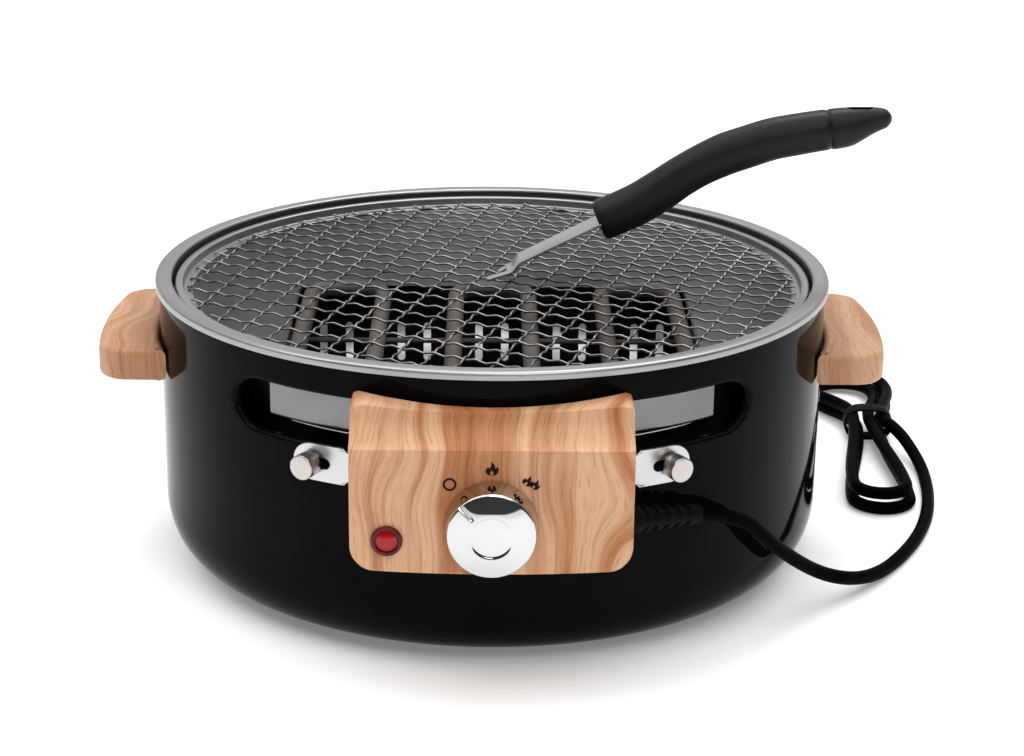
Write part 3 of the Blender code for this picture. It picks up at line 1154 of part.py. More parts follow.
def main():
    clear_scene()
    frame = bpy.data.objects.new("grill_frame", None)
    bpy.context.collection.objects.link(frame)
    front_reach = FASCIA_FACE + GAP + KNOB_LENGTH
    frame.location = (0, (front_reach - FLANGE_OUTER) / 2, 0)
    make_pot()
    make_bowl()
    make_coal_box()
    make_element()
    make_strap()
    make_fascia()
    make_controls()
    make_handles()
    make_lifter(make_net())
    make_cord()


main()
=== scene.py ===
import math

import bmesh
import bpy
import numpy as np
from mathutils import Matrix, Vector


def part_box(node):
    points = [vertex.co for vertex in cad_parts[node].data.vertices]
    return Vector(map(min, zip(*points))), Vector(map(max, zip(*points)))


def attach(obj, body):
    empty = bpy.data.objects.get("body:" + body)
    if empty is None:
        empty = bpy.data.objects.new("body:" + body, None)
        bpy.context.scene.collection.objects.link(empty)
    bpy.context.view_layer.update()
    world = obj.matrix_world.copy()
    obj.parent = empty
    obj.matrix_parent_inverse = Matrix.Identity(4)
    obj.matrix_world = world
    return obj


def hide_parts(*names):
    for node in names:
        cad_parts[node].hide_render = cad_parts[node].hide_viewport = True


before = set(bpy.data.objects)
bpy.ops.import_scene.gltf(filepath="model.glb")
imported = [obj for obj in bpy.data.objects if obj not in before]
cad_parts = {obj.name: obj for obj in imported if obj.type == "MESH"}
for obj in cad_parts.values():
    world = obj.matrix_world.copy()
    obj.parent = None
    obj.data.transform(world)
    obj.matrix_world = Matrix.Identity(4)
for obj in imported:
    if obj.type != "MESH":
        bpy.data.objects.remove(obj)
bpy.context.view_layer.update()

potLow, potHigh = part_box("outer_pot")
axisY = (potLow[1] + potHigh[1]) / 2      # pieces are worked out round the pot's axis, then moved here
potRadius = (potHigh[0] - potLow[0]) / 2
gap = 0.0003                               # between two pieces that touch
outset = 0.0033                            # the photo's wall stands this much outside its solid
mergeWithin, dropWithin = 2e-6, 1e-7       # points this close become one, edges this short go
cutShare = 0.49                            # of a side, the most that a soft corner takes
manySides, fewSides = 96, 48               # of a full turn, for pieces seen near and for small ones
quarter = np.pi / 2
wallRadius = potRadius + outset


def unit(vectors):
    # each vector divided by its own length
    vectors = np.asarray(vectors, float)
    return vectors / np.maximum(np.linalg.norm(vectors, axis=-1, keepdims=True), 1e-12)


def gridFaces(rows, columns, closeRows=False, closeColumns=False):
    # a quad between each two neighbouring rows and columns of points numbered row by row
    i, j = np.meshgrid(np.arange(rows if closeRows else rows - 1),
                       np.arange(columns if closeColumns else columns - 1), indexing="ij")
    down, right = (i + 1) % rows, (j + 1) % columns
    return np.stack([i * columns + j, i * columns + right, down * columns + right, down * columns + j],
                    -1).reshape(-1, 4)


def softLine(points, cut, steps=4, closed=False):
    # each corner p becomes a (1-t)^2 + 2 p t (1-t) + b t^2, with a and b at the distance cut from it
    points = np.asarray(points, float)
    toLast, toNext = np.roll(points, 1, 0) - points, np.roll(points, -1, 0) - points
    cut = np.broadcast_to(np.asarray(cut, float), len(points))[:, None]
    a = points + unit(toLast) * np.minimum(cut, cutShare * np.linalg.norm(toLast, axis=1, keepdims=True))
    b = points + unit(toNext) * np.minimum(cut, cutShare * np.linalg.norm(toNext, axis=1, keepdims=True))
    t = np.linspace(0, 1, steps + 1)[None, :, None]
    curve = a[:, None] * (1 - t) ** 2 + 2 * points[:, None] * t * (1 - t) + b[:, None] * t ** 2
    if closed:
        return curve.reshape(-1, points.shape[1])
    return np.concatenate([points[:1], curve[1:-1].reshape(-1, points.shape[1]), points[-1:]])


def offsetLine(points, distance, closed=False):
    # each point moved to the line's right, along the mean of its two sides' normals, mitred
    points = np.asarray(points, float)
    sides = unit(np.roll(points, -1, 0) - points)
    normals = np.stack([sides[:, 1], -sides[:, 0]], -1)
    before = np.roll(normals, 1, 0)
    if not closed:
        before[0], normals[-1] = normals[0], before[-1]
    middle = unit(before + normals)
    return points + middle * distance / np.maximum((middle * before).sum(1, keepdims=True), 0.5)


def smoothRoute(points, step, between=24):
    # even points on a Catmull-Rom curve through the route's own points
    points = np.asarray(points, float)
    knots = np.concatenate([[2 * points[0] - points[1]], points, [2 * points[-1] - points[-2]]])
    p0, p1, p2, p3 = (knots[k:len(knots) - 3 + k][:, None] for k in range(4))
    t = np.linspace(0, 1, between, endpoint=False)[None, :, None]
    fine = 0.5 * (2 * p1 + (p2 - p0) * t + (2 * p0 - 5 * p1 + 4 * p2 - p3) * t * t
                  + (3 * p1 - p0 - 3 * p2 + p3) * t ** 3)
    fine = np.concatenate([fine.reshape(-1, points.shape[1]), points[-1:]])
    along = np.concatenate([[0], np.cumsum(np.linalg.norm(np.diff(fine, axis=0), axis=1))])
    even = np.linspace(0, along[-1], max(2, round(along[-1] / step)) + 1)
    return np.stack([np.interp(even, along, fine[:, k]) for k in range(points.shape[1])], -1)


def pairs(*columns):
    # numbers or rows of numbers side by side, as points
    return np.stack(np.broadcast_arrays(*columns), -1)


def roundAxis(radius, angle, height):
    # radius times (sin a, -cos a), so that angle 0 is the front
    return pairs(radius * np.sin(angle), -radius * np.cos(angle), height)


def turned(profile, steps):
    # (radius, height) carried round Z
    profile = np.asarray(profile, float)
    return roundAxis(profile[:, :1], np.linspace(0, 2 * np.pi, steps, endpoint=False), profile[:, 1:])


def standing(grid, origin, axis):
    # a grid made round Z, moved to an origin with Z turned to an axis
    w = unit(axis)
    u = unit(np.cross([0, 0, 1], w)) if abs(w[2]) < 0.99 else np.array([1.0, 0, 0])
    return np.asarray(origin) + grid[..., :1] * u + grid[..., 1:2] * np.cross(w, u) + grid[..., 2:] * w


def swept(path, section, side=None):
    # at each point of the path, section x along the side and section y along the path's normal
    path = np.asarray(path, float)
    tangent = unit(np.gradient(path, axis=0))
    across = unit(np.cross([0, 0, 1], tangent)) if side is None else np.broadcast_to(side, path.shape)
    normal = unit(np.cross(tangent, across))
    section = np.broadcast_to(section, (len(path),) + np.shape(section)[-2:])
    return path[:, None] + section[..., :1] * across[:, None] + section[..., 1:] * normal[:, None]


def circle(radius, sides):
    angle = np.linspace(0, 2 * np.pi, sides, endpoint=False)
    return radius * np.stack([np.cos(angle), np.sin(angle)], -1)


def softStep(x):
    return 1 / (1 + np.exp(-x))


def capped(grid):
    # a row at each end drawn to its middle, so that a tube is closed
    first, last = grid[:1].mean(1, keepdims=True), grid[-1:].mean(1, keepdims=True)
    return np.concatenate([np.broadcast_to(first, grid[:1].shape), grid,
                           np.broadcast_to(last, grid[-1:].shape)])


def aroundPot(degrees, radius, height):
    # a place at an angle from the front, and the direction away from the pot's axis there
    angle = math.radians(degrees)
    outward = np.array([math.sin(angle), -math.cos(angle), 0])
    return outward * radius + [0, 0, height], outward


def headed(degrees):
    angle = math.radians(degrees)
    return np.array([math.cos(angle), math.sin(angle), 0])


def sheetOf(grid, closeRows=False, closeColumns=False):
    return grid, gridFaces(grid.shape[0], grid.shape[1], closeRows, closeColumns)


def lid(grid, row):
    # one flat face over a row of a grid
    return grid[row], [list(range(grid.shape[1]))]


def tube(grid):
    return [sheetOf(grid, False, True)]


def block(grid):
    # rings of points with a flat face over the first and the last
    return [sheetOf(grid, False, True), lid(grid, 0), lid(grid, -1)]


def newObject(name, data):
    made = bpy.data.objects.new(name, data)
    bpy.context.collection.objects.link(made)
    return made


def turnTo(thing, right, up, back, place):
    # an object's three axes and its place are the columns of its matrix
    matrix = np.eye(4)
    matrix[:3] = np.column_stack([right, up, back, place])
    thing.matrix_world = Matrix(matrix.tolist())


def meshOf(name, surfaces):
    # surfaces are (points, faces); points move by the axis's place, doubles are merged, faces turned out
    points = np.concatenate([np.reshape(p, (-1, 3)) for p, _ in surfaces]) + [0, axisY, 0]
    starts = np.cumsum([0] + [np.size(p) // 3 for p, _ in surfaces])
    faces = [face for (_, quads), start in zip(surfaces, starts)
             for face in (np.asarray(quads) + start).tolist()]
    mesh = bpy.data.meshes.new(name)
    mesh.from_pydata(points.tolist(), [], faces)
    build = bmesh.new()
    build.from_mesh(mesh)
    bmesh.ops.remove_doubles(build, verts=build.verts, dist=mergeWithin)
    bmesh.ops.dissolve_degenerate(build, edges=build.edges, dist=dropWithin)
    bmesh.ops.recalc_face_normals(build, faces=build.faces)
    build.to_mesh(mesh)
    build.free()
    return mesh


def makePiece(name, body, surfaces, finish, stands=(), sharp=35):
    # sharp: the angle in degrees past which an edge is shaded as a corner
    mesh = meshOf(name, surfaces)
    mesh.shade_smooth()
    mesh.set_sharp_from_angle(angle=math.radians(sharp))
    mesh.materials.append(finishes[finish])
    piece = newObject(name, mesh)
    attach(piece, body)
    if stands:
        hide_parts(*stands)
    return piece


def carve(piece, surfaces):
    # what lies inside a closed surface is cut away
    cutter = newObject(piece.name + "Cut", meshOf(piece.name + "Cut", surfaces))
    modifier = piece.modifiers.new("cut", "BOOLEAN")
    modifier.operation, modifier.solver, modifier.object = "DIFFERENCE", "EXACT", cutter
    shaped = bpy.data.meshes.new_from_object(piece.evaluated_get(bpy.context.evaluated_depsgraph_get()))
    piece.modifiers.clear()
    piece.data = shaped
    bpy.data.objects.remove(cutter)


# the photo's camera: lengths in metres, angles in degrees, focal length in the photo's pixels
view = {"focal": 2255.6, "distance": 1.15, "height": 0.148, "elevation": 15.917, "pitch": 18.749,
        "yaw": 0.667, "roll": 0.617, "side": -0.0024, "width": 1024, "sensor": 36.0, "near": 0.05,
        "far": 30}


def makeCamera():
    e, pitch, yaw, roll = (math.radians(view[k]) for k in ("elevation", "pitch", "yaw", "roll"))
    place = np.array([view["side"], axisY - view["distance"] * math.cos(e),
                      view["height"] + view["distance"] * math.sin(e)])
    ahead = np.array([math.sin(yaw) * math.cos(pitch), math.cos(yaw) * math.cos(pitch),
                      -math.sin(pitch)])
    level = np.array([math.cos(yaw), -math.sin(yaw), 0])
    upright = np.cross(level, ahead)
    right = math.cos(roll) * level + math.sin(roll) * upright
    up = -math.sin(roll) * level + math.cos(roll) * upright
    lens = bpy.data.cameras.new("camera")
    lens.sensor_width = view["sensor"]
    lens.lens = view["focal"] * view["sensor"] / view["width"]
    lens.clip_start, lens.clip_end = view["near"], view["far"]
    camera = newObject("camera", lens)
    turnTo(camera, right, up, -ahead, place)
    bpy.context.scene.camera = camera


makeCamera()
print("camera done")


def fill(tree, node, inputs):
    # inputs by name or number: a socket is linked to its input, anything else is set on it
    for key, value in inputs.items():
        if isinstance(value, bpy.types.NodeSocket):
            tree.links.new(value, node.inputs[key])
        else:
            node.inputs[key].default_value = value
    return node


def newNode(tree, kind, inputs, **settings):
    node = tree.nodes.new("ShaderNode" + kind)
    for key, value in settings.items():
        setattr(node, key, value)
    return fill(tree, node, inputs)


def newGroup(name):
    group = bpy.data.node_groups.new(name, "ShaderNodeTree")
    group.interface.new_socket(name="Vector", in_out="INPUT", socket_type="NodeSocketVector")
    return group, group.nodes.new("NodeGroupInput").outputs["Vector"]


def spread(tree, value, low, high, toLow=0.0, toHigh=1.0):
    made = newNode(tree, "MapRange", {"Value": value, "From Min": low, "From Max": high, "To Min": toLow,
                                      "To Max": toHigh})
    return made.outputs["Result"]


# each noise: its scale along three axes, detail and roughness, and what of it is spread from 0 to 1
noises = {"Patches": ((28, 28, 28), 3.0, 0.55, (0.3, 0.7)),
          "Scratches": ((900, 60, 240), 2.0, 0.55, (0.60, 0.72)),
          "Grain": ((1600, 1600, 1600), 2.0, 0.55, None),
          "Lines": ((1800, 1800, 3.0), 3.0, 0.55, None),
          "Bands": ((80, 6, 4), 2.0, 0.45, (0.38, 0.64)),
          "Streaks": ((560, 24, 14), 3.0, 0.6, (0.36, 0.66)),
          "Pores": ((2300, 160, 110), 1.0, 0.55, (0.60, 0.72))}
sway = {"scale": 14.0, "detail": 1.0, "reach": (0.050, 0.0, 0.0)}


def endGroup(group, vector, *labels):
    # one output for each noise named
    results = {}
    for label in labels:
        scale, detail, rough, span = noises[label]
        mapping = newNode(group, "Mapping", {"Vector": vector, "Scale": scale})
        noise = newNode(group, "TexNoise", {"Vector": mapping.outputs["Vector"], "Scale": 1.0,
                                            "Detail": detail, "Roughness": rough}).outputs["Fac"]
        results[label] = spread(group, noise, *span) if span else noise
        group.interface.new_socket(name=label, in_out="OUTPUT", socket_type="NodeSocketFloat")
    fill(group, group.nodes.new("NodeGroupOutput"), results)
    return group


def makeWearGroup():
    # patches: broad soft noise; scratches: the peaks of a stretched noise; grain: very fine noise
    group, vector = newGroup("surfaceWear")
    return endGroup(group, vector, "Patches", "Scratches", "Grain")


def makeBrushGroup():
    # lines that run round the pot's axis: noise far finer by radius and height than along the angle
    group, vector = newGroup("turnedBrush")
    x, y, z = newNode(group, "SeparateXYZ", {0: vector}).outputs
    fromAxis = newNode(group, "Math", {0: y, 1: axisY}, operation="SUBTRACT").outputs[0]
    flat = newNode(group, "CombineXYZ", {"X": x, "Y": fromAxis}).outputs[0]
    radius = newNode(group, "VectorMath", {0: flat}, operation="LENGTH").outputs["Value"]
    angle = newNode(group, "Math", {0: x, 1: fromAxis}, operation="ARCTAN2").outputs[0]
    polar = newNode(group, "CombineXYZ", {"X": radius, "Y": z, "Z": angle}).outputs[0]
    return endGroup(group, polar, "Lines")


def makeWoodGroup():
    # grain along Z, swayed sideways by a slow noise: bands broad and few, streaks fine and many, pores
    # short and thin
    group, vector = newGroup("woodFigure")
    slow = newNode(group, "TexNoise", {"Vector": vector, "Scale": sway["scale"],
                                       "Detail": sway["detail"]}).outputs["Color"]
    swayed = newNode(group, "VectorMath", {0: slow, 1: sway["reach"], 2: vector},
                     operation="MULTIPLY_ADD").outputs["Vector"]
    return endGroup(group, swayed, "Bands", "Streaks", "Pores")


wearGroup, brushGroup, woodGroup = makeWearGroup(), makeBrushGroup(), makeWoodGroup()
finishes, slots = {}, {}


def newFinish(key, name, slot, group, settings, turn=None):
    # a material that feeds the object's own coordinates, turned if need be, to one of the groups
    material = bpy.data.materials.new(name)
    material.use_nodes = True
    finishes[key], slots[key] = material, slot
    tree = material.node_tree
    vector = newNode(tree, "TexCoord", {}).outputs["Object"]
    if turn:
        vector = newNode(tree, "Mapping", {"Vector": vector, "Rotation": turn}).outputs["Vector"]
    detail = newNode(tree, "Group", {"Vector": vector}, node_tree=group).outputs
    shader = fill(tree, tree.nodes["Principled BSDF"],
                  {setting.replace("_", " "): value for setting, value in settings.items()})
    return tree, shader, detail


def colourRamp(tree, value, stops):
    ramp = newNode(tree, "ValToRGB", {"Fac": value})
    elements = ramp.color_ramp.elements
    while len(elements) < len(stops):
        elements.new(0.5)
    for element, (place, colour) in zip(elements, stops):
        element.position, element.color = place, (*np.broadcast_to(colour, 3), 1.0)
    return ramp.outputs["Color"]


def bumpOf(tree, height, strength, distance):
    made = newNode(tree, "Bump", {"Height": height, "Strength": strength, "Distance": distance})
    return made.outputs["Normal"]


def plainFinish(key, name, slot, dark, light, smooth, rough, bump=0.05, depth=0.0001, scratch=0.6,
                **settings):
    # colour between two tones by broad patches, roughness by patches and scratches, fine grain as bump
    tree, shader, detail = newFinish(key, name, slot, wearGroup, settings)
    broad = spread(tree, detail["Patches"], 0, 1, smooth, rough)
    worn = newNode(tree, "Math", {0: detail["Scratches"], 1: (rough - smooth) * scratch, 2: broad},
                   operation="MULTIPLY_ADD")
    fill(tree, shader, {"Base Color": colourRamp(tree, detail["Patches"], [(0.0, dark), (1.0, light)]),
                        "Roughness": worn.outputs[0],
                        "Normal": bumpOf(tree, detail["Grain"], bump, depth)})


def brushedFinish(key, name, slot, dark, light, smooth, rough, bump=0.03, depth=0.00008, low=0.3,
                  high=0.7):
    # colour and roughness between two values along the turned lines, which are bump too
    tree, shader, detail = newFinish(key, name, slot, brushGroup, {"Metallic": 1.0})
    lines = detail["Lines"]
    fill(tree, shader, {"Base Color": colourRamp(tree, lines, [(low, dark), (high, light)]),
                        "Roughness": spread(tree, lines, low, high, smooth, rough),
                        "Normal": bumpOf(tree, lines, bump, depth)})


wood = {"ground": (0.595, 0.352, 0.208), "orange": (0.410, 0.163, 0.062), "streak": (0.95, 0.91, 0.87),
        "pore": (0.60, 0.47, 0.36), "smooth": 0.46, "rough": 0.64, "poreShare": 0.55,
        # where the bands' four colours lie, the first one's tone and the third one's share of orange
        "bandsAt": (0.0, 0.38, 0.62, 0.86), "early": 1.06, "mixed": 0.6,
        # the streaks' darkest: its tone, how much a pale wood lifts it, its hue; the middle one's place
        "dark": 0.72, "lift": 0.16, "hue": (1.0, 0.86, 0.72), "streakAt": 0.6,
        "specular": 0.30, "bump": 0.20, "depth": 0.0001}


def woodFinish(key, turn=None, pale=0.0, tone=1.0):
    # a pale ground goes to orange-brown in the bands, fine streaks shade it, pores are darker and sunk
    w = wood
    settings = {"Specular_IOR_Level": w["specular"]}
    tree, shader, detail = newFinish(key, key, "light_wood", woodGroup, settings, turn)
    ground, orange = np.array(w["ground"]), np.array(w["orange"])
    orange = (orange + (ground - orange) * pale) * tone
    ground = ground * tone
    between = ground * (1 - w["mixed"]) + orange * w["mixed"]
    shade = (w["dark"] + w["lift"] * pale) * np.array(w["hue"])
    colour = colourRamp(tree, detail["Bands"],
                        list(zip(w["bandsAt"], (ground * w["early"], ground, between, orange))))
    streaks = colourRamp(tree, detail["Streaks"], [(0.0, 1.0), (w["streakAt"], w["streak"]), (1.0, shade)])
    pores = colourRamp(tree, detail["Pores"], [(0.0, 1.0), (1.0, w["pore"])])
    for share, layer in ((1.0, streaks), (w["poreShare"], pores)):
        colour = newNode(tree, "Mix", {"Factor": share, 6: colour, 7: layer}, data_type="RGBA",
                         blend_type="MULTIPLY").outputs[2]
    proud = newNode(tree, "Math", {0: 1.0, 1: detail["Pores"]}, operation="SUBTRACT").outputs[0]
    fill(tree, shader, {"Base Color": colour,
                        "Roughness": spread(tree, detail["Pores"], 0, 1, w["smooth"], w["rough"]),
                        "Normal": bumpOf(tree, proud, w["bump"], w["depth"])})


metal, shine = {"Metallic": 1.0}, "Specular_IOR_Level"
# name, slot, tone and roughness at the dark patches and at the light ones, then bump and shader settings
plainFinishes = {
    "enamel": ("blackEnamel", "black_enamel", 0.0018, 0.0028, 0.05, 0.08,
               {"bump": 0.02, "depth": 0.00003, "IOR": 1.10}),
    "boxEnamel": ("boxEnamel", "box_enamel", (0.004, 0.0035, 0.0035), (0.008, 0.0075, 0.0075), 0.12, 0.24,
                  {"bump": 0.06, shine: 0.4}),
    # painted shade: a dark matte for the bowl's faces that lie in shadow inside the pot and in the ring's gap
    "paintedShade": ("bowlPaintedShade", "satin_steel", 0.004, 0.008, 0.45, 0.60, {}),
    "plateSteel": ("satinPlate", "satin_steel", (0.48, 0.48, 0.485), (0.55, 0.55, 0.555), 0.26, 0.36,
                   metal),
    # painted shade: satin steel made much darker than the strap's, for the plate's shadow inside the pot
    "shield": ("shieldSteelPaintedShade", "satin_steel", (0.15, 0.15, 0.152), (0.2, 0.2, 0.203), 0.26, 0.36, metal),
    "wire": ("netWire", "wire_steel", (0.13, 0.126, 0.122), (0.28, 0.272, 0.264), 0.14, 0.26, metal),
    "sheath": ("elementSheath", "element_sheath", (0.045, 0.037, 0.032), (0.11, 0.092, 0.082), 0.48, 0.68,
               {"bump": 0.25, "Metallic": 0.3}),
    "chrome": ("polishedChrome", "chrome", 0.54, 0.60, 0.03, 0.07, {"bump": 0.01, **metal}),
    "screw": ("screwSteel", "chrome", (0.42, 0.395, 0.37), (0.50, 0.475, 0.45), 0.20, 0.32, metal),
    "plastic": ("mattPlastic", "black_plastic", 0.006, 0.010, 0.36, 0.48, {"bump": 0.18, shine: 0.17}),
    "rubber": ("softRubber", "black_rubber", 0.0012, 0.0022, 0.50, 0.65, {"bump": 0.20, shine: 0.05}),
    "cord": ("cordSheath", "cord_sheath", 0.0006, 0.0012, 0.36, 0.50,
             {"bump": 0.10, shine: 0.02, "IOR": 1.3}),
    "grey": ("greyMoulding", "grey_plastic", 0.20, 0.27, 0.44, 0.58, {}),
    "ceramic": ("firedCeramic", "ceramic", (0.68, 0.65, 0.60), (0.80, 0.78, 0.74), 0.42, 0.58,
                {"bump": 0.15}),
    "brass": ("platedPins", "plug_brass", (0.70, 0.67, 0.60), (0.80, 0.77, 0.71), 0.14, 0.24, metal),
    "mark": ("printedMark", "black_plastic", (0.008, 0.004, 0.003), (0.014, 0.008, 0.005), 0.55, 0.70,
             {shine: 0.1}),
    "collar": ("lampCollar", "black_plastic", (0.060, 0.003, 0.002), (0.095, 0.004, 0.003), 0.10, 0.20,
               {"bump": 0.02, shine: 0.25}),
    "lens": ("lampLens", "red_lens", (0.18, 0.001, 0.002), (0.36, 0.003, 0.004), 0.06, 0.14,
             {"bump": 0.02, shine: 0.35}),
}
for key, (*values, settings) in plainFinishes.items():
    plainFinish(key, *values, **settings)
brushedFinish("steel", "brushedSteel", "satin_steel", 0.47, 0.57, 0.43, 0.55)
brushedFinish("ring", "turnedSteel", "satin_steel", 0.31, 0.38, 0.32, 0.44)
woodFinish("fasciaWood")
woodFinish("handleWood", (math.radians(90), 0, 0), pale=0.45, tone=0.84)
print("finishes done:", len(finishes))


cord = {"diameter": 0.007, "step": 0.012, "length": 1.497,
        # each point: degrees from the front, room from the pot's wall, height
        "route": [(37.45, 0.01230, 0.0690), (41.73, 0.01300, 0.0629), (45.07, 0.01380, 0.0552),
                  (48.69, 0.01450, 0.0452), (52.60, 0.01570, 0.0358), (56.20, 0.01750, 0.0280),
                  (59.41, 0.02013, 0.0215), (62.20, 0.02417, 0.0165), (65.23, 0.02884, 0.0122),
                  (68.53, 0.03325, 0.0086), (72.42, 0.03847, 0.0058), (77.20, 0.04441, 0.0040),
                  (82.65, 0.05195, 0.0035), (88.09, 0.06015, 0.0035), (93.96, 0.06912, 0.0035),
                  (99.97, 0.07863, 0.0035), (105.60, 0.08800, 0.0036), (110.60, 0.09650, 0.0052),
                  (114.90, 0.10230, 0.0086), (118.69, 0.10575, 0.0128)],
        "tail": [(142.61, 0.13141, 0.0045), (145.12, 0.11477, 0.0110)],
        "tie": (124.92, 0.10576), "heading": 86, "nearRun": 0.107, "farRun": 0.062,
        "nearRadius": 0.020, "farRadius": 0.027, "waist": 0.0105, "stepAside": 0.0081, "turns": 2.25,
        "bow": 0.200, "band": 0.0014, "bandWidth": 0.0110, "bandEdge": 0.0005, "tieRoom": 0.0008,
        "tieBend": 1.5}
relief = {"start": (0.0632, -0.1700, 0.0790), "run": (0.0308, 0.0200, -0.0050), "wide": 0.0066,
          "narrow": 0.0046, "ribs": 5, "groove": 0.0015, "spine": 0.30, "tuck": 0.004, "rows": 150,
          "sides": 72, "first": 0.0025, "ribbed": 0.84, "pitchShare": 0.86, "rib": 0.22, "ribSharp": 40,
          "spineSharp": 24}
plug = {"place": (149.19, 0.08882), "heading": 205, "length": 0.046, "face": 0.0185, "grip": 0.0115,
        "rear": 0.0052, "flange": 0.013, "waist": 0.96, "slope": 0.006, "soft": 0.0022,
        "pinRadius": 0.0024, "pinLength": 0.019, "pinSpacing": 0.019, "pinShoulder": 0.004,
        "pinTip": 0.006, "pinSoft": 0.0018}


def besidePot(degrees, room, height):
    return aroundPot(degrees, potRadius + room, height)[0]


def onHank(turns):
    # a loop is two runs joined by half circles; its width is drawn in at the waist by a squared cosine,
    # narrows with the turns to the middle one, and there the cord steps down a layer
    c = cord
    nearArc, farArc = math.pi * c["nearRadius"], math.pi * c["farRadius"]
    total = 2 * (c["farRun"] + c["nearRun"]) + nearArc + farArc
    depth = np.minimum(turns, c["turns"] - turns) * c["stepAside"]
    length = (turns - np.floor(turns)) * total
    waist, farWide, nearWide = c["waist"] - depth, c["farRadius"] - depth, c["nearRadius"] - depth
    back, front = c["farRun"] + farArc, 2 * c["farRun"] + farArc + c["nearRun"]

    def width(u):
        reach, wide = np.where(u > 0, c["farRun"], c["nearRun"]), np.where(u > 0, farWide, nearWide)
        return wide - (wide - waist) * np.cos(quarter * u / reach) ** 2

    farAngle = quarter - (length - c["farRun"]) / c["farRadius"]
    nearAngle = -quarter - (length - front) / c["nearRadius"]
    down = c["farRun"] - (length - back)
    cases = [length < c["farRun"], length < back, length < front, length < front + nearArc]
    u = np.select(cases, [length, c["farRun"] + farWide * np.cos(farAngle), down,
                          -c["nearRun"] + nearWide * np.cos(nearAngle)], length - total)
    v = np.select(cases, [width(length), farWide * np.sin(farAngle), -width(down),
                          nearWide * np.sin(nearAngle)], width(length - total))
    drop = np.clip((turns - c["turns"] / 2) * 2 + 0.5, 0, 1)
    drop = drop * drop * (3 - 2 * drop)
    lift = (c["band"] + 2 * gap) * np.cos(quarter * np.minimum(np.abs(u) / c["farRun"], 1)) ** 2
    return u, v, c["diameter"] / 2 + lift + c["stepAside"] * (1 - drop), total


def hankToWorld(u, v, z):
    # along and across the hank from its tie; the far half bends round the pot on a circle
    u, v, z = np.broadcast_arrays(*(np.asarray(k, float) for k in (u, v, z)))
    heading = math.radians(cord["heading"])
    turn = np.maximum(u, 0) / cord["bow"]
    along = np.where(u > 0, cord["bow"] * np.sin(turn), u)
    aside = cord["bow"] * (1 - np.cos(turn))
    x, y = besidePot(*cord["tie"], 0)[:2]
    c, s = math.cos(heading), math.sin(heading)
    return np.stack([x + c * along - s * aside + np.sin(heading + turn) * v,
                     y + s * along + c * aside - np.cos(heading + turn) * v, z], -1)


def makeCord():
    # one curve: straight out of the relief, down to the table, round the hank, and into the plug
    start = np.add(relief["start"], relief["run"])
    leave = unit(relief["run"])
    total = onHank(np.zeros(1))[3]
    farTip = (cord["farRun"] + math.pi * cord["farRadius"] / 2) / total
    last = math.floor(cord["turns"]) + farTip
    u, v, z, _ = onHank(np.linspace(0, last, round(last * total / cord["step"])))
    hank = hankToWorld(u, v, z)
    into = unit(hankToWorld(0, 0, 0) - hankToWorld(-cord["nearRun"], 0, 0))
    far, waist = cord["farRun"], cord["waist"]
    out = unit(hankToWorld(far, -waist, 0) - hankToWorld(far, waist, 0))
    axis = headed(plug["heading"])
    rear = besidePot(*plug["place"], plug["face"] + gap)
    d = cord["diameter"]
    free = smoothRoute([start, start + leave * d] + [besidePot(*p) for p in cord["route"]]
                       + [hank[0] - into * d], cord["step"])
    tail = smoothRoute([hank[-1] + out * d] + [besidePot(*p) for p in cord["tail"]]
                       + [rear - axis * d, rear + axis * d], cord["step"])
    points = np.concatenate([free, hank, tail]) + [0, axisY, 0]
    curve = bpy.data.curves.new("power_cord_lead", "CURVE")
    curve.dimensions = "3D"
    curve.bevel_depth, curve.use_fill_caps = d / 2, True
    curve.bevel_resolution = curve.resolution_u = 5
    spline = curve.splines.new("BEZIER")
    spline.bezier_points.add(len(points) - 1)
    pull = np.gradient(points, axis=0) / 3
    for key, places in (("co", points), ("handle_left", points - pull), ("handle_right", points + pull)):
        spline.bezier_points.foreach_set(key, places.ravel())
    spline.use_smooth = True
    curve.materials.append(finishes["cord"])
    lead = newObject("power_cord_lead", curve)
    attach(lead, "grill")
    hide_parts("power_cord", "cord_hank", "cord_tail")
    length = np.linalg.norm(np.diff(points, axis=0), axis=1).sum()
    print("cord length %.3f, points %d + %d + %d" % (length, len(free), len(hank), len(tail)))
    return lead, points[0], rear, axis


def rectangle(halfWide, halfHigh, cut):
    # a closed outline with soft corners
    corners = [(-halfWide, -halfHigh), (halfWide, -halfHigh), (halfWide, halfHigh), (-halfWide, halfHigh)]
    return softLine(corners, cut, steps=2, closed=True)


def makeTie():
    # a rounded outline round the strands, with a flat soft-edged section carried along it
    c = cord
    height = 2 * c["band"] + 4 * gap + c["diameter"] + c["stepAside"]
    left = c["waist"] - c["stepAside"] / 2 + c["diameter"] / 2 + c["tieRoom"]
    right = c["waist"] + c["diameter"] / 2 + c["tieRoom"]
    half, wide = c["band"] / 2, c["bandWidth"] / 2
    loop = softLine([(-left - half, half), (right + half, half), (right + half, height - half),
                     (-left - half, height - half)], c["tieBend"] * c["diameter"], steps=10,
                    closed=True)
    section = rectangle(wide, half, c["bandEdge"])
    rings = np.stack([offsetLine(loop, aside, True) for aside in section[:, 1]], 1)
    place = hankToWorld(0, rings[..., 0], rings[..., 1])
    along = unit(hankToWorld(0, 0, 0) - hankToWorld(-0.01, 0, 0))
    return makePiece("cord_band", "grill", [sheetOf(place + section[None, :, :1] * along, True, True)],
                     "rubber", ["cord_tie"])


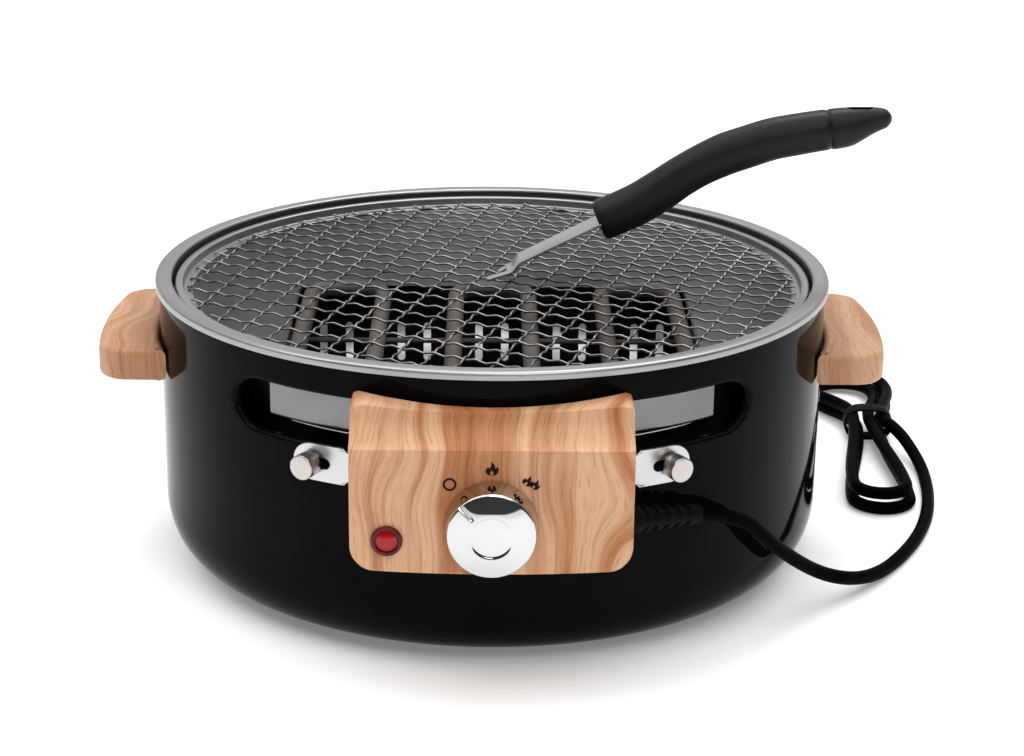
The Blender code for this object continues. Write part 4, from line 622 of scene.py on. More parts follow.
def makeRelief():
    # a taper whose radius is drawn in at five gaps, on both sides of two spines that face front and
    # back; gaps and spines begin and end by the soft step 1 / (1 + exp(-x))
    f = relief
    start, run = np.array(f["start"]), np.array(f["run"])
    length = np.linalg.norm(run)
    s = np.linspace(-f["tuck"], length, f["rows"])[:, None]
    angle = np.linspace(0, 2 * np.pi, f["sides"], endpoint=False)[None]
    taper = f["wide"] + (f["narrow"] - f["wide"]) * np.clip(s, 0, length) / length
    place = np.clip(s / (length * f["pitchShare"]), 0, 1) * f["ribs"]
    ribbed = (s > f["first"]) * (s < length * f["ribbed"])
    inGap = softStep((np.abs(place % 1 - 0.5) - f["rib"]) * f["ribSharp"]) * ribbed
    aside = softStep((np.abs(np.sin(angle)) - f["spine"]) * f["spineSharp"])
    radius = taper - f["groove"] * (1 - inGap) * aside * ribbed
    grid = pairs(radius * np.cos(angle), radius * np.sin(angle), s)
    return makePiece("relief_sleeve", "grill", tube(capped(standing(grid, start, run))), "rubber",
                     ["strain_relief"])


def makePlug(rear, axis):
    # a turned body with a waist and a flange, and two turned pins side by side
    p = plug
    flange, level = p["length"] - p["flange"], unit(np.cross(axis, [0, 0, 1]))
    profile = softLine([(0, 0), (p["rear"], 0), (p["grip"], p["flange"]),
                        (p["grip"] * p["waist"], flange - p["slope"]), (p["face"], flange),
                        (p["face"], p["length"]), (0, p["length"])], p["soft"], steps=5)
    body = makePiece("plug_shell", "grill", tube(standing(turned(profile, manySides), rear, axis)), "plastic",
                     ["plug_body"])
    pin = softLine([(0, 0), (p["pinRadius"], 0), (p["pinRadius"], p["pinLength"] + p["pinShoulder"]),
                    (0, p["pinLength"] + p["pinTip"])], p["pinSoft"], steps=4)
    surfaces = []
    for side in (-1, 1):
        seat = rear + axis * (p["length"] - p["pinTip"]) + level * side * p["pinSpacing"] / 2
        surfaces += tube(standing(turned(pin, 32), seat, axis))
    pins = makePiece("plug_contacts", "grill", surfaces, "brass", ["plug_pin_left", "plug_pin_right"])
    return body, pins


lead, exitPoint, plugRear, plugAxis = makeCord()
band = makeTie()
makeRelief()
plugPieces = makePlug(plugRear, plugAxis)
print("cord done")


slot = {"half": 0.119, "low": 0.106, "high": 0.130, "rows": 16, "window": 0.0045}
pot = {"wall": 0.0012, "corner": 0.0280, "bottom": 0.0040, "top": 0.1467, "edge": 0.0020, "lip": 0.0034,
       "softness": 1.2, "sink": 0.0010, "overlap": 0.0008, "columns": 240, "windowColumns": 33}
bowl = {"sheet": 0.0010, "floor": 0.058, "wall": 0.145, "corner": 0.025, "ledge": 0.139, "ledgeIn": 0.153,
        "groove": 0.1618, "flange": 0.170, "top": 0.148, "drop": 0.0037, "columns": 240,
        "windowColumns": 38, "slotHalf": 0.1025, "shade": 0.1596, "flangeIn": 0.1608,
        "rimCuts": (0, 0.0015, 0.0008, 0.0014, 0.0018, 0)}


def slotLoop(half, offset, topColumns):
    # half circle, run, half circle, run: a slot's outline grown by an offset, as (x, z)
    middle, radius = (slot["low"] + slot["high"]) / 2, (slot["high"] - slot["low"]) / 2
    straight = half - radius
    up = np.linspace(-quarter, quarter, slot["rows"], endpoint=False)
    run = np.linspace(straight, -straight, topColumns, endpoint=False)
    right = pairs(straight + (radius + offset) * np.cos(up), (radius + offset) * np.sin(up))
    top = pairs(run, radius + offset)
    return np.concatenate([right, top, -right, -top]) + [0, middle]


def slottedShell(outer, inner, first, columns, windowColumns, half, edge):
    # both skins are turned; the quads inside a window round the slot give way to rings that lead from
    # the window to the slot, over its edge, and back to the window of the other skin
    rows, angle = slot["rows"], 2 * np.pi * windowColumns / columns
    surfaces, windows = [], []
    for skin in (outer, inner):
        grid = turned(skin, columns)
        faces = gridFaces(len(skin), columns, False, True).reshape(len(skin) - 1, columns, 4)
        keep = np.ones(faces.shape[:2], bool)
        keep[first:first + rows, :windowColumns] = False
        keep[first:first + rows, columns - windowColumns:] = False
        surfaces.append((grid, faces[keep]))
        rise = skin[first:first + rows, 1]
        fall = skin[first + rows:first:-1, 1]
        across = np.linspace(angle, -angle, 2 * windowColumns, endpoint=False)
        high, low = skin[first + rows, 1], skin[first, 1]
        windows.append(np.concatenate([pairs(angle, rise), pairs(across, high), pairs(-angle, fall),
                                       pairs(-across, low)]))

    def onSkin(skin, theta, z, depth=0.0):
        (r0, z0), (r1, z1) = skin[first], skin[first + rows]
        return roundAxis(r0 + (r1 - r0) * (z - z0) / (z1 - z0) + depth, theta, z)

    def slotAngles(skin, offset):
        x, z = slotLoop(half, offset, 2 * windowColumns).T
        (r0, z0), (r1, z1) = skin[first], skin[first + rows]
        return np.arcsin(x / (r0 + (r1 - r0) * (z - z0) / (z1 - z0))), z

    rings = []
    theta, z = slotAngles(outer, edge[0][0])
    for share in np.linspace(0, 1, 5)[:-1]:
        rings.append(onSkin(outer, windows[0][:, 0] * (1 - share) + theta * share,
                            windows[0][:, 1] * (1 - share) + z * share))
    for offset, depth in edge:
        theta, z = slotAngles(outer, offset)
        rings.append(onSkin(outer, theta, z, depth))
    theta, z = slotAngles(inner, edge[-1][0])
    for share in np.linspace(1, 0, 5):
        rings.append(onSkin(inner, windows[1][:, 0] * (1 - share) + theta * share,
                            windows[1][:, 1] * (1 - share) + z * share))
    surfaces.append(sheetOf(np.stack(rings), False, True))
    end = np.stack([outer[-1], inner[-1]])
    surfaces.append(sheetOf(turned(end, columns), False, True))
    return surfaces


def makePot():
    # both skins of the wall; at the slot its edge curls in by a quarter circle to a lip
    p = pot
    low, high = slot["low"] - slot["window"], slot["high"] + slot["window"]
    foot = softLine([(0, p["bottom"]), (wallRadius, p["bottom"]), (wallRadius, low)],
                    p["softness"] * p["corner"], steps=16)
    wall = pairs(wallRadius, np.linspace(low, high, slot["rows"] + 1))
    outer = np.concatenate([foot[:-1], wall, [(wallRadius, p["top"])]])
    inner = offsetLine(outer, -p["wall"])
    inner[0, 0] = 0.0
    e = p["edge"]
    edge = [(e * (1 - math.sin(t)), -e * (1 - math.cos(t))) for t in np.linspace(0, quarter, 6)]
    edge += [(0, -p["lip"]), (p["sink"], -p["lip"]), (p["sink"], -p["wall"] - p["overlap"])]
    surfaces = slottedShell(outer, inner, len(foot) - 1, p["columns"], p["windowColumns"], slot["half"],
                            edge)
    return makePiece("enamel_pot", "grill", surfaces, "enamel", ["outer_pot"])


def makeBowl():
    # a wall leaning out to a ledge, and a step up to the flange on the pot's rim; the finish is chosen
    # by face: painted shade, a dark matte, below and in the gap beside the net's ring, turned steel on the
    # flange
    b = bowl
    low, high = slot["low"] - slot["window"], slot["high"] + slot["window"]
    lean = (b["ledgeIn"] - b["wall"]) / (b["ledge"] - b["floor"] - b["corner"])
    heights = np.linspace(low, high, slot["rows"] + 1)
    rows = pairs(b["wall"] + (heights - b["floor"] - b["corner"]) * lean, heights)
    foot = softLine([(0, b["floor"]), (b["wall"], b["floor"]), rows[0]], b["corner"], steps=12)
    rim = softLine([rows[-1], (b["ledgeIn"], b["ledge"]), (b["groove"], b["ledge"]),
                    (b["groove"], b["top"]), (b["flange"], b["top"]),
                    (b["flange"], b["top"] - b["drop"])], b["rimCuts"], steps=5)
    upper = np.concatenate([foot[:-1], rows, rim[1:]])
    under = offsetLine(upper, b["sheet"])
    under[0, 0] = 0.0
    surfaces = slottedShell(under, upper, len(foot) - 1, b["columns"], b["windowColumns"], b["slotHalf"],
                            [(0, 0), (0, -b["sheet"] / 2)])
    piece = makePiece("steel_bowl", "grill", surfaces, "steel", ["inner_bowl"])
    for finish in ("paintedShade", "ring"):
        piece.data.materials.append(finishes[finish])
    polygons = piece.data.polygons
    centres, normals = np.empty(len(polygons) * 3), np.empty(len(polygons) * 3)
    polygons.foreach_get("center", centres)
    polygons.foreach_get("normal", normals)
    centres, normals = centres.reshape(-1, 3) - [0, axisY, 0], normals.reshape(-1, 3)
    # faces below the ledge that look out or down, and the ledge in the gap by the ring, take the painted
    # shade finish (index 1)
    outwards = (unit(centres[:, :2]) * normals[:, :2]).sum(1) > 0.2
    below = (centres[:, 2] < b["ledge"] - b["sheet"]) & (outwards | (normals[:, 2] < -0.5))
    far = np.linalg.norm(centres[:, :2], axis=1)
    inGap = (far > b["shade"]) & (centres[:, 2] < b["top"] - b["drop"])
    flange = (far > b["flangeIn"]) & ~inGap
    chosen = np.select([below | inGap, flange], [1, 2], 0)
    polygons.foreach_set("material_index", chosen.astype(np.int32))
    return piece


def makeFeet():
    # each foot is turned round the middle of its solid's box, narrower at the table
    surfaces, stands = [], []
    for corner in ("front_left", "front_right", "rear_left", "rear_right"):
        low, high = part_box("foot_" + corner)
        stands.append("foot_" + corner)
        wide = (high[0] - low[0]) / 2
        profile = softLine([(0, high[2]), (wide, high[2]), (wide * 0.84, low[2]), (0, low[2])], 0.0011, 4)
        middle = [(low[0] + high[0]) / 2, (low[1] + high[1]) / 2 - axisY, 0]
        surfaces += tube(turned(profile, fewSides) + middle)
    return makePiece("rubber_feet", "grill", surfaces, "rubber", stands)


makePot()
makeBowl()
makeFeet()
print("pot and bowl done")


element = {"radius": 0.00425, "runs": 6, "outer": 0.0955, "bend": 0.012, "back": 0.0535, "front": -0.105,
           "end": -0.12299, "height": 0.120, "sides": 28, "softness": 1.35}
plate = {"radius": 0.1625, "half": 0.102, "low": 0.112, "high": 0.1285, "sheet": 0.0012, "flange": 0.012,
         "bend": 0.0025, "columns": 72}


def makeElement():
    # straight runs joined by rounded ends, as one softened line carried out to a round tube
    e = element
    xs = np.linspace(-e["outer"], e["outer"], e["runs"])
    corners = [(xs[0], e["end"])]
    for k in range(e["runs"] - 1):
        y = e["back"] if k % 2 == 0 else e["front"]
        corners += [(xs[k], y), (xs[k + 1], y)]
    corners.append((xs[-1], e["end"]))
    line = softLine(corners, e["softness"] * e["bend"], steps=12)
    path = pairs(*line.T, e["height"])
    surfaces = tube(capped(swept(path, circle(e["radius"], e["sides"]))))
    return makePiece("heater_tube", "grill", surfaces, "sheath", ["heating_element"])


def makeFacePlate():
    # a flanged sheet's closed (radius, height) outline, carried round the front as wide each way as half
    p = plate
    r, low, high = p["radius"], p["low"], p["high"]
    skin = softLine([(r - p["flange"], low), (r, low), (r, high)], p["bend"], steps=6)
    section = np.concatenate([skin, offsetLine(skin, -p["sheet"])[::-1]])
    reach = math.asin(p["half"] / section[:, 0].max())
    grid = roundAxis(section[:, 0], np.linspace(-reach, reach, p["columns"])[:, None], section[:, 1])
    # the plate's finish is satin steel darkened as painted shade
    return makePiece("element_shield", "grill", block(grid), "shield", ["element_face_plate"])


makeElement()
makeFacePlate()
print("element done")


strap = {"inner": 0.1653 + outset, "sheet": 0.0015, "height": 0.0175, "middle": 0.098, "half": 0.0902,
         "notchX": 0.0662, "notch": 0.0019, "notchSharp": 9000, "holeX": 0.0785, "holeLength": 0.011,
         "holeHeight": 0.0055, "rows": 21, "columns": 90,
         # shares of the half width between which extra columns stand, and their number
         "close": (0.71, 0.76, 24), "holeAlong": (-0.20, -0.10)}
thumbscrew = {"angle": 28.6, "head": 0.0059, "headLength": 0.0078, "collar": 0.0035,
              "collarLength": 0.0015, "shank": 0.0020, "inside": 0.008, "edge": 0.0007}


def stadium(middle, length, height, steps=12):
    # half circles of the height's half at both ends of a length, as a closed outline
    radius = height / 2
    a = np.linspace(-quarter, quarter, steps)
    end = np.stack([length / 2 - radius + radius * np.cos(a), radius * np.sin(a)], -1)
    return np.concatenate([end, -end]) + middle


def makeStrap():
    # rows by height, as wide as a half circle leaves them; front and back lie on two cylinders; past the
    # notch's place a row's height shrinks by a soft step; columns stand closer there
    s = strap
    lift = np.sin(np.linspace(-quarter, quarter, s["rows"]))
    radius = s["height"] / 2
    half = s["half"] - radius + np.sqrt(np.maximum(radius ** 2 - (lift * radius) ** 2, 0))
    close = np.linspace(*s["close"])
    across = np.sort(np.concatenate([np.linspace(-1, 1, s["columns"]), close, -close]))[None]
    x = half[:, None] * across
    narrow = 1 - s["notch"] / radius / (1 + np.exp((np.abs(x) - s["notchX"]) * s["notchSharp"]))
    z = s["middle"] + lift[:, None] * radius * narrow
    back, front = (np.stack([x, -np.sqrt(r * r - x * x), z], -1)
                   for r in (s["inner"], s["inner"] + s["sheet"]))
    rims = [np.stack([back[k], front[k]]) for k in (0, -1)]
    rims += [np.stack([back[:, k], front[:, k]]) for k in (0, -1)]
    surfaces = [sheetOf(g) for g in (back, front, *rims)]
    piece = makePiece("steel_strap", "grill", surfaces, "plateSteel", ["mounting_strap"])
    for side in (-1, 1):
        x, z = stadium((side * s["holeX"], s["middle"]), s["holeLength"], s["holeHeight"]).T
        carve(piece, block(np.stack([pairs(x, y, z) for y in s["holeAlong"]])))
    return piece


def makeThumbscrew(side, sign):
    # shank, collar and head as one turned profile that stands on the strap
    t = thumbscrew
    seat, outward = aroundPot(sign * t["angle"], strap["inner"] + strap["sheet"] + gap, strap["middle"])
    top = t["collarLength"] + t["headLength"]
    profile = softLine([(0, -t["inside"]), (t["shank"], -t["inside"]), (t["shank"], 0), (t["collar"], 0),
                        (t["collar"], t["collarLength"]), (t["head"], t["collarLength"]),
                        (t["head"], top), (0, top)], t["edge"], 4)
    return makePiece("clamp_screw_" + side, "screw_" + side,
                     tube(standing(turned(profile, 72), seat, outward)), "screw", ["thumbscrew_" + side])


makeStrap()
makeThumbscrew("left", -1)
makeThumbscrew("right", 1)
print("strap done")


fascia = {"half": 0.0625, "bottom": 0.0630, "top": 0.132, "face": 0.192, "coveDepth": 0.014,
          "coveHeight": 0.0122, "rise": 0.0042, "corner": 0.011, "bow": 0.0022, "bowHeight": 0.030,
          "topCorner": 0.0035, "edge": 0.0022, "fold": 0.0006, "back": 0.1671 + outset, "sharp": 40}
knob = {"base": 0.0209, "front": 0.0194, "length": 0.0152, "dish": 0.00975, "dishDepth": 0.0007,
        "dishEdge": 0.0012, "dome": 0.0023, "rimWidth": 0.002, "rimRise": 0.00055, "round": 0.0008,
        "height": 0.085, "angle": -45, "grooveWidth": 0.0016, "grooveDepth": 0.0008, "grooveInner": 0.012,
        "sideSharp": 9000, "endSharp": 6000, "pole": 0.0001, "columns": 480, "sharp": 50}
lamp = {"x": -0.046, "height": 0.0775, "bezel": 0.00725, "bezelHeight": 0.0018, "lens": 0.0048,
        "lensHeight": 0.0021, "lensSide": 0.0010, "round": 0.0006}
marks = {"radius": 0.0265, "ring": 0.0060, "thick": 0.00095, "lift": 0.00012, "sunk": 0.00005,
         "height": 0.0064, "ringAt": -44, "leaning": 0.75,
         # each flame: degrees on the dial, shift in metres, size
         "flames": [(0, (0, 0), 1.0), (41, (-0.0017, 0.0010), 0.78), (41, (0.0016, -0.0006), 0.78)],
         # a flame's outline in shares of its height: a tall lick, a shorter one beside it, a round foot
         "flame": [(0, -0.50), (0.24, -0.47), (0.42, -0.30), (0.46, -0.06), (0.36, 0.18), (0.31, 0.05),
                   (0.23, -0.02), (0.20, 0.20), (0.06, 0.42), (-0.06, 0.52), (-0.03, 0.30),
                   (-0.10, 0.12), (-0.20, 0), (-0.24, 0.14), (-0.36, 0.02), (-0.45, -0.16),
                   (-0.40, -0.34), (-0.22, -0.47), (-0.07, -0.50), (-0.15, -0.36), (-0.09, -0.22),
                   (0, -0.12), (0.09, -0.24), (0.10, -0.38)], "soft": 0.05}


def makeFascia():
    # slices by height: the front chain gives each slice's reach, its width shrinks by a circle at the
    # corners, its upright edges are rounded, and its back follows the pot; then the foot is bowed down
    # and the top corners are raised by the square of the place across
    f = fascia
    a = np.linspace(0, quarter, 16)
    e = f["edge"]
    foot = pairs(f["face"] - e + e * np.sin(a), f["bottom"] + e - e * np.cos(a))
    face = pairs(f["face"], np.linspace(f["bottom"] + e, f["top"] - f["coveHeight"], 28))[1:]
    cove = pairs(f["face"] - f["coveDepth"] * np.sin(a), f["top"] - f["coveHeight"] * np.cos(a))[1:]
    chain = np.concatenate([foot, softLine(np.concatenate([face, cove]), f["fold"], 2)])
    chain = np.concatenate([chain, [chain[-1] - [f["fold"], 0]]])
    reach, z = chain[:, :1], chain[:, 1:]

    def shrink(room, radius):
        return radius - np.sqrt(np.maximum(radius ** 2 - np.maximum(radius - room, 0) ** 2, 0))

    def back(x):
        return np.sqrt(f["back"] ** 2 - x * x)

    half = f["half"] - shrink(z - f["bottom"], f["corner"]) - shrink(f["top"] - z, f["topCorner"])
    run = np.linspace(-1, 1, 64)[None]
    q = np.linspace(0, quarter, 7)[None]
    side = np.linspace(0, 1, 8)[None]
    rightX, rightF = half - e + e * np.sin(q), reach - e + e * np.cos(q)
    sideX, sideF = half + 0 * side, (reach - e) * (1 - side) + back(half) * side
    backX = -run * half
    x = np.concatenate([run * (half - e), rightX, sideX, backX, -sideX[:, ::-1], -rightX[:, ::-1]], 1)
    forward = np.concatenate([reach + 0 * run, rightF, sideF, back(backX), sideF[:, ::-1],
                              rightF[:, ::-1]], 1)
    share = (x / f["half"]) ** 2
    bowed = (z - f["bow"] * (1 - share) * np.clip(1 - (z - f["bottom"]) / f["bowHeight"], 0, 1)
             + f["rise"] * share * np.clip(1 - (f["top"] - z) / f["coveHeight"], 0, 1))
    grid = np.stack([x, -forward, bowed], -1)
    return makePiece("wood_front", "grill", block(grid), "fasciaWood", ["fascia"], f["sharp"])


def makeKnob():
    # rings of a turned profile; a straight groove with soft sides is pressed in from the dish's side out
    k = knob
    shoulder = k["length"] - k["dome"]
    profile = softLine([(0, 0), (k["base"], 0), (k["front"], shoulder),
                        (k["front"] - k["rimWidth"], shoulder + k["rimRise"])], k["round"], steps=6)[1:-1]
    r = np.linspace(k["front"] - k["round"], k["dish"], 30)
    share = (r - k["dish"]) / (k["front"] - k["dish"])
    ring = k["length"] - k["dome"] * share ** 1.2
    dish = np.linspace(k["dish"], k["pole"], 20)
    sunk = k["dishDepth"] * np.clip((k["dish"] - dish) / k["dishEdge"], 0, 1) ** 0.5
    rows = np.concatenate([[(k["pole"], 0)], profile, pairs(r, ring)[1:],
                           pairs(dish, k["length"] - sunk)])
    grid = turned(rows, k["columns"])
    lean = math.radians(k["angle"])
    side = np.abs(grid[..., 0] * math.cos(lean) + grid[..., 1] * math.sin(lean))
    outwards = grid[..., 0] * math.sin(lean) - grid[..., 1] * math.cos(lean)
    pressed = (softStep(k["sideSharp"] * (k["grooveWidth"] / 2 - side))
               * softStep(k["endSharp"] * (outwards - k["grooveInner"])))
    top = grid[..., 2] > k["length"] * 0.55
    grid[..., 2] -= k["grooveDepth"] * pressed * top
    base = np.array([0, -fascia["face"] - gap, k["height"]])
    placed = np.stack([base[0] + grid[..., 0], base[1] - grid[..., 2], base[2] - grid[..., 1]], -1)
    return makePiece("rotary_knob", "knob", block(placed), "chrome", ["control_knob"], k["sharp"])


def makeLamp():
    # a turned collar and, inside it, a turned lens whose height falls with the square of the radius
    p = lamp
    base, forward = (p["x"], -fascia["face"] - gap, p["height"]), (0, -1, 0)
    ring = softLine([(p["lens"] + gap, 0), (p["bezel"], 0), (p["bezel"] - p["round"], p["bezelHeight"]),
                     (p["lens"] + gap, p["bezelHeight"])], p["round"], closed=True)
    collar = standing(turned(ring, manySides), base, forward)
    makePiece("lamp_collar", "grill", [sheetOf(collar, True, True)], "collar", ["lamp_bezel"])
    s = np.linspace(1, 0, 14)
    dome = pairs(p["lens"] * s, p["lensSide"] + (p["lensHeight"] - p["lensSide"]) * (1 - s ** 2))
    profile = np.concatenate([[(0, 0), (p["lens"], 0)], dome])
    makePiece("lamp_window", "grill", tube(standing(turned(profile, manySides), base, forward)),
              "lens", ["lamp_lens"])


def makeMarks():
    # outlines a hair proud of the wood: a ring for off, a flame for low and two flames for high
    m = marks
    front = -fascia["face"]

    def place(outline, degrees):
        a = math.radians(degrees)
        x = outline[:, 0] + m["radius"] * math.sin(a)
        z = outline[:, 1] + knob["height"] + m["radius"] * math.cos(a)
        return [pairs(x, front + depth, z) for depth in (m["sunk"], -m["lift"])]

    sizes = m["ring"] / 2, m["ring"] / 2 - m["thick"]
    outer, inner = (place(circle(radius, fewSides), m["ringAt"]) for radius in sizes)
    surfaces = [sheetOf(np.stack([*outer, *inner[::-1]]), True, True)]
    flame = softLine(m["flame"], m["soft"], steps=3, closed=True) * m["height"]
    for degrees, shift, size in m["flames"]:
        a = math.radians(degrees) * m["leaning"]
        turn = np.array([[math.cos(a), -math.sin(a)], [math.sin(a), math.cos(a)]])
        surfaces += block(np.stack(place(flame @ turn * size + shift, degrees)))
    return makePiece("heat_marks", "grill", surfaces, "mark")


makeFascia()
makeKnob()
makeLamp()
makeMarks()
print("wooden front done")


handle = {"reach": 0.198, "half": 0.0545, "bow": 0.003, "corner": 0.015, "low": 0.1032, "high": 0.1195,
          "edge": 0.0032, "inward": 0.0008, "back": wallRadius + 0.0008, "sharp": 40}


def makeHandle(side, sign):
    # plan outline: bowed face, round corners, back along the pot; rings of it stand over each other,
    # drawn in by a quarter circle at both edges
    h = handle
    chord = h["half"] - h["corner"]
    bowRadius = (chord ** 2 + h["bow"] ** 2) / (2 * h["bow"])
    tilt = math.asin(chord / bowRadius)
    a = np.linspace(-tilt, tilt, 40)
    face = pairs(h["reach"] - bowRadius + bowRadius * np.cos(a), bowRadius * np.sin(a))
    cornerX = h["reach"] - h["bow"] - h["corner"]
    lowCorner = np.linspace(-quarter, -tilt, 14)[:-1]
    highCorner = np.linspace(tilt, quarter, 14)[1:]
    corners = [pairs(cornerX + h["corner"] * np.cos(t), y + h["corner"] * np.sin(t))
               for t, y in ((lowCorner, -chord), (highCorner, chord))]
    lean = math.asin(h["half"] / h["back"])
    b = np.linspace(lean, -lean, 40)
    back = pairs(h["back"] * np.cos(b), h["back"] * np.sin(b))
    outline = np.concatenate([corners[0], face, corners[1], back])
    q = np.linspace(0, quarter, 8)
    e = h["edge"]
    ends = [e + h["inward"]]
    insets = np.concatenate([ends, e * (1 - np.sin(q)), e * (1 - np.cos(q)), ends])
    heights = np.concatenate([[h["low"]], h["low"] + e * (1 - np.cos(q)),
                              h["high"] - e * (1 - np.sin(q)), [h["high"]]])
    grid = np.stack([pairs(*offsetLine(outline, -inset, True).T, z)
                     for inset, z in zip(insets, heights)]) * [sign, 1, 1]
    return makePiece("wood_handle_" + side, "grill", block(grid), "handleWood", ["handle_" + side],
                     h["sharp"])


makeHandle("left", -1)
makeHandle("right", 1)
print("handles done")


ringSizes = {"outer": 0.1603, "inner": 0.1562, "seat": 0.1515, "low": 0.1393, "high": 0.1447,
             "step": 0.1401, "round": 0.0011, "columns": 256}
net = {"radius": 0.1538, "height": 0.1411, "wire": 0.00058, "crimp": 0.00052,
       "originA": (-0.0421, -0.0591),
       "pitchA": 0.0171, "angleLeft": 77.0, "angleRight": 69.0, "angleB": -27.2, "spacingB": 0.0155,
       "crowding": 0.036, "points": 280, "sides": 7, "sharpness": 0.95, "halfWaves": 3, "lines": 20,
       "outermost": 0.985, "sharp": 60}


def makeNetRing():
    # an L-shaped section with soft corners, turned: a flat seat for the wires and a wall round them
    r = ringSizes
    section = softLine([(r["seat"], r["low"]), (r["outer"], r["low"]), (r["outer"], r["high"]),
                        (r["inner"], r["high"]), (r["inner"], r["step"]), (r["seat"], r["step"])],
                       r["round"], steps=5, closed=True)
    surfaces = [sheetOf(turned(section, r["columns"]), True, True)]
    return makePiece("steel_ring", "net", surfaces, "ring", ["net_ring"])


def makeNet():
    # the A lines fan out from left to right and the parallel B lines crowd together towards the back; a
    # wire rises and falls by a pointed cosine with three half waves from crossing to crossing, so that
    # it goes over one wire and under the next
    n = net
    k = np.arange(-n["lines"], n["lines"] + 1)
    startX = n["originA"][0] + n["pitchA"] * k
    lean = np.radians(np.interp(startX, (-n["radius"], n["radius"]), (n["angleLeft"], n["angleRight"])))
    startsA, runsA = pairs(startX, n["originA"][1]), pairs(np.cos(lean), np.sin(lean))
    limit = n["spacingB"] / n["crowding"]
    startY = limit - (limit - n["originA"][1]) * np.exp(-n["crowding"] * k)
    startsB, runsB = pairs(n["originA"][0], startY), np.tile(headed(n["angleB"])[:2], (len(k), 1))
    surfaces = []
    for starts, runs, others, otherRuns, side in ((startsA, runsA, startsB, runsB, 1),
                                                  (startsB, runsB, startsA, runsA, -1)):
        for number, start, run in zip(k, starts, runs):
            normal = np.array([-run[1], run[0]])
            away = start @ normal
            if abs(away) > n["radius"] * n["outermost"]:
                continue
            reach = math.sqrt(n["radius"] ** 2 - away ** 2)
            s = np.linspace(-reach, reach, n["points"])
            middle = normal * away
            offset = others - middle
            cross = run[0] * otherRuns[:, 1] - run[1] * otherRuns[:, 0]
            met = (offset[:, 0] * otherRuns[:, 1] - offset[:, 1] * otherRuns[:, 0]) / cross
            order = np.argsort(met)
            phase = np.interp(s, met[order], k[order])
            wave = np.arcsin(n["sharpness"] * np.cos(n["halfWaves"] * np.pi * phase))
            wave = wave / math.asin(n["sharpness"])
            path = np.column_stack([middle + s[:, None] * run,
                                    n["height"] + side * n["crimp"] * wave * (-1.0) ** number])
            surfaces += tube(capped(swept(path, circle(n["wire"], n["sides"]))))
    print("net wires:", len(surfaces))
    return makePiece("woven_net", "net", surfaces, "wire", ["grill_net"], n["sharp"])


makeNetRing()
makeNet()
print("net done")


# foot and bend: along from the tips' middle, and height above the wires
tongue = {"tips": (-0.0030, 0.0030), "foot": (0.0102, 0.0042), "bend": (0.0135, 0.0090), "rest": 0.1421,
          "angle": 27, "length": 0.055, "sheet": 0.0015, "half": 0.0097, "tine": 0.0058, "root": 0.28,
          "bends": 0.0016, "edge": 0.0005, "tipShare": 0.12, "tipFlat": 0.94, "overlap": 0.05}
grip = {  # each point: along, height, half thickness
    "route": [(0.0536, 0.1722, 0.0104), (0.0642, 0.1770, 0.0105), (0.0741, 0.1819, 0.0106),
              (0.0840, 0.1883, 0.0105), (0.0939, 0.1953, 0.0102), (0.1037, 0.2013, 0.0102),
              (0.1156, 0.2071, 0.0106), (0.1274, 0.2113, 0.0106), (0.1393, 0.2152, 0.0105),
              (0.1512, 0.2176, 0.0104), (0.1631, 0.2197, 0.0102), (0.1750, 0.2214, 0.0100),
              (0.1809, 0.2231, 0.0089), (0.1868, 0.2248, 0.0072), (0.1927, 0.2259, 0.0056),
              (0.1985, 0.2262, 0.0040)],
    # half width in shares of wide, at each place along
    "wide": 0.0100, "places": (0.0536, 0.165, 0.180, 0.193, 0.1985),
    "shares": (1.05, 1.0, 0.86, 0.58, 0.38),
    "step": 0.0012, "sides": 56, "squareness": 0.9, "holeX": 0.1824, "holeLength": 0.013,
    "holeWidth": 0.0066, "holeAlong": (0.19, 0.27), "seamX": 0.1672, "seamHalf": 0.00063636,
    "seamDepth": 0.075,
    # share of the length over which each end is rounded, and how far it closes
    "nearEnd": (0.012, 0.45), "farEnd": (0.022, 0.92)}


def plateSection(half, sheet):
    # a flat rectangle with soft edges, for each half width in a list
    return np.stack([rectangle(w, sheet / 2, min(tongue["edge"], w * 0.4)) for w in half])


def makeTongue():
    # a flat blade at an angle, steeper from its bend to its foot, and two tines on to rounded tips
    t = tongue
    a = math.radians(t["angle"])
    lift = t["sheet"] / 2 / math.cos(a)
    tips = [np.array([tip, 0, t["rest"] + lift]) for tip in t["tips"]]
    foot, bend = (np.array([x, 0, t["rest"] + rise + lift]) for x, rise in (t["foot"], t["bend"]))
    end = bend + np.array([math.cos(a), 0, math.sin(a)]) * t["length"]
    side = (0, 1, 0)
    root = foot + (np.mean(tips, 0) - foot) * t["root"]
    blade = softLine([root, foot, bend, end], t["bends"], steps=8)
    surfaces = tube(capped(swept(blade, plateSection(np.full(len(blade), t["half"]), t["sheet"]), side)))
    share = np.concatenate([[0.0, 0.01, 0.03, 0.06, 0.10], np.linspace(0.16, 1, 12)])
    rounded = np.sqrt(1 - np.clip(1 - share / t["tipShare"], 0, t["tipFlat"]) ** 2)
    for sign, tip in zip((-1, 1), tips):
        run = foot + (tip - foot) * t["overlap"] - tip
        path = tip + run * share[:, None] + [0, sign * (t["half"] - t["tine"] / 2), 0]
        section = plateSection(t["tine"] / 2 * rounded, t["sheet"])
        surfaces += tube(capped(swept(path, section, side)))
    return makePiece("lifter_fork", "lifter", surfaces, "plateSteel", ["lifter_tongue"])


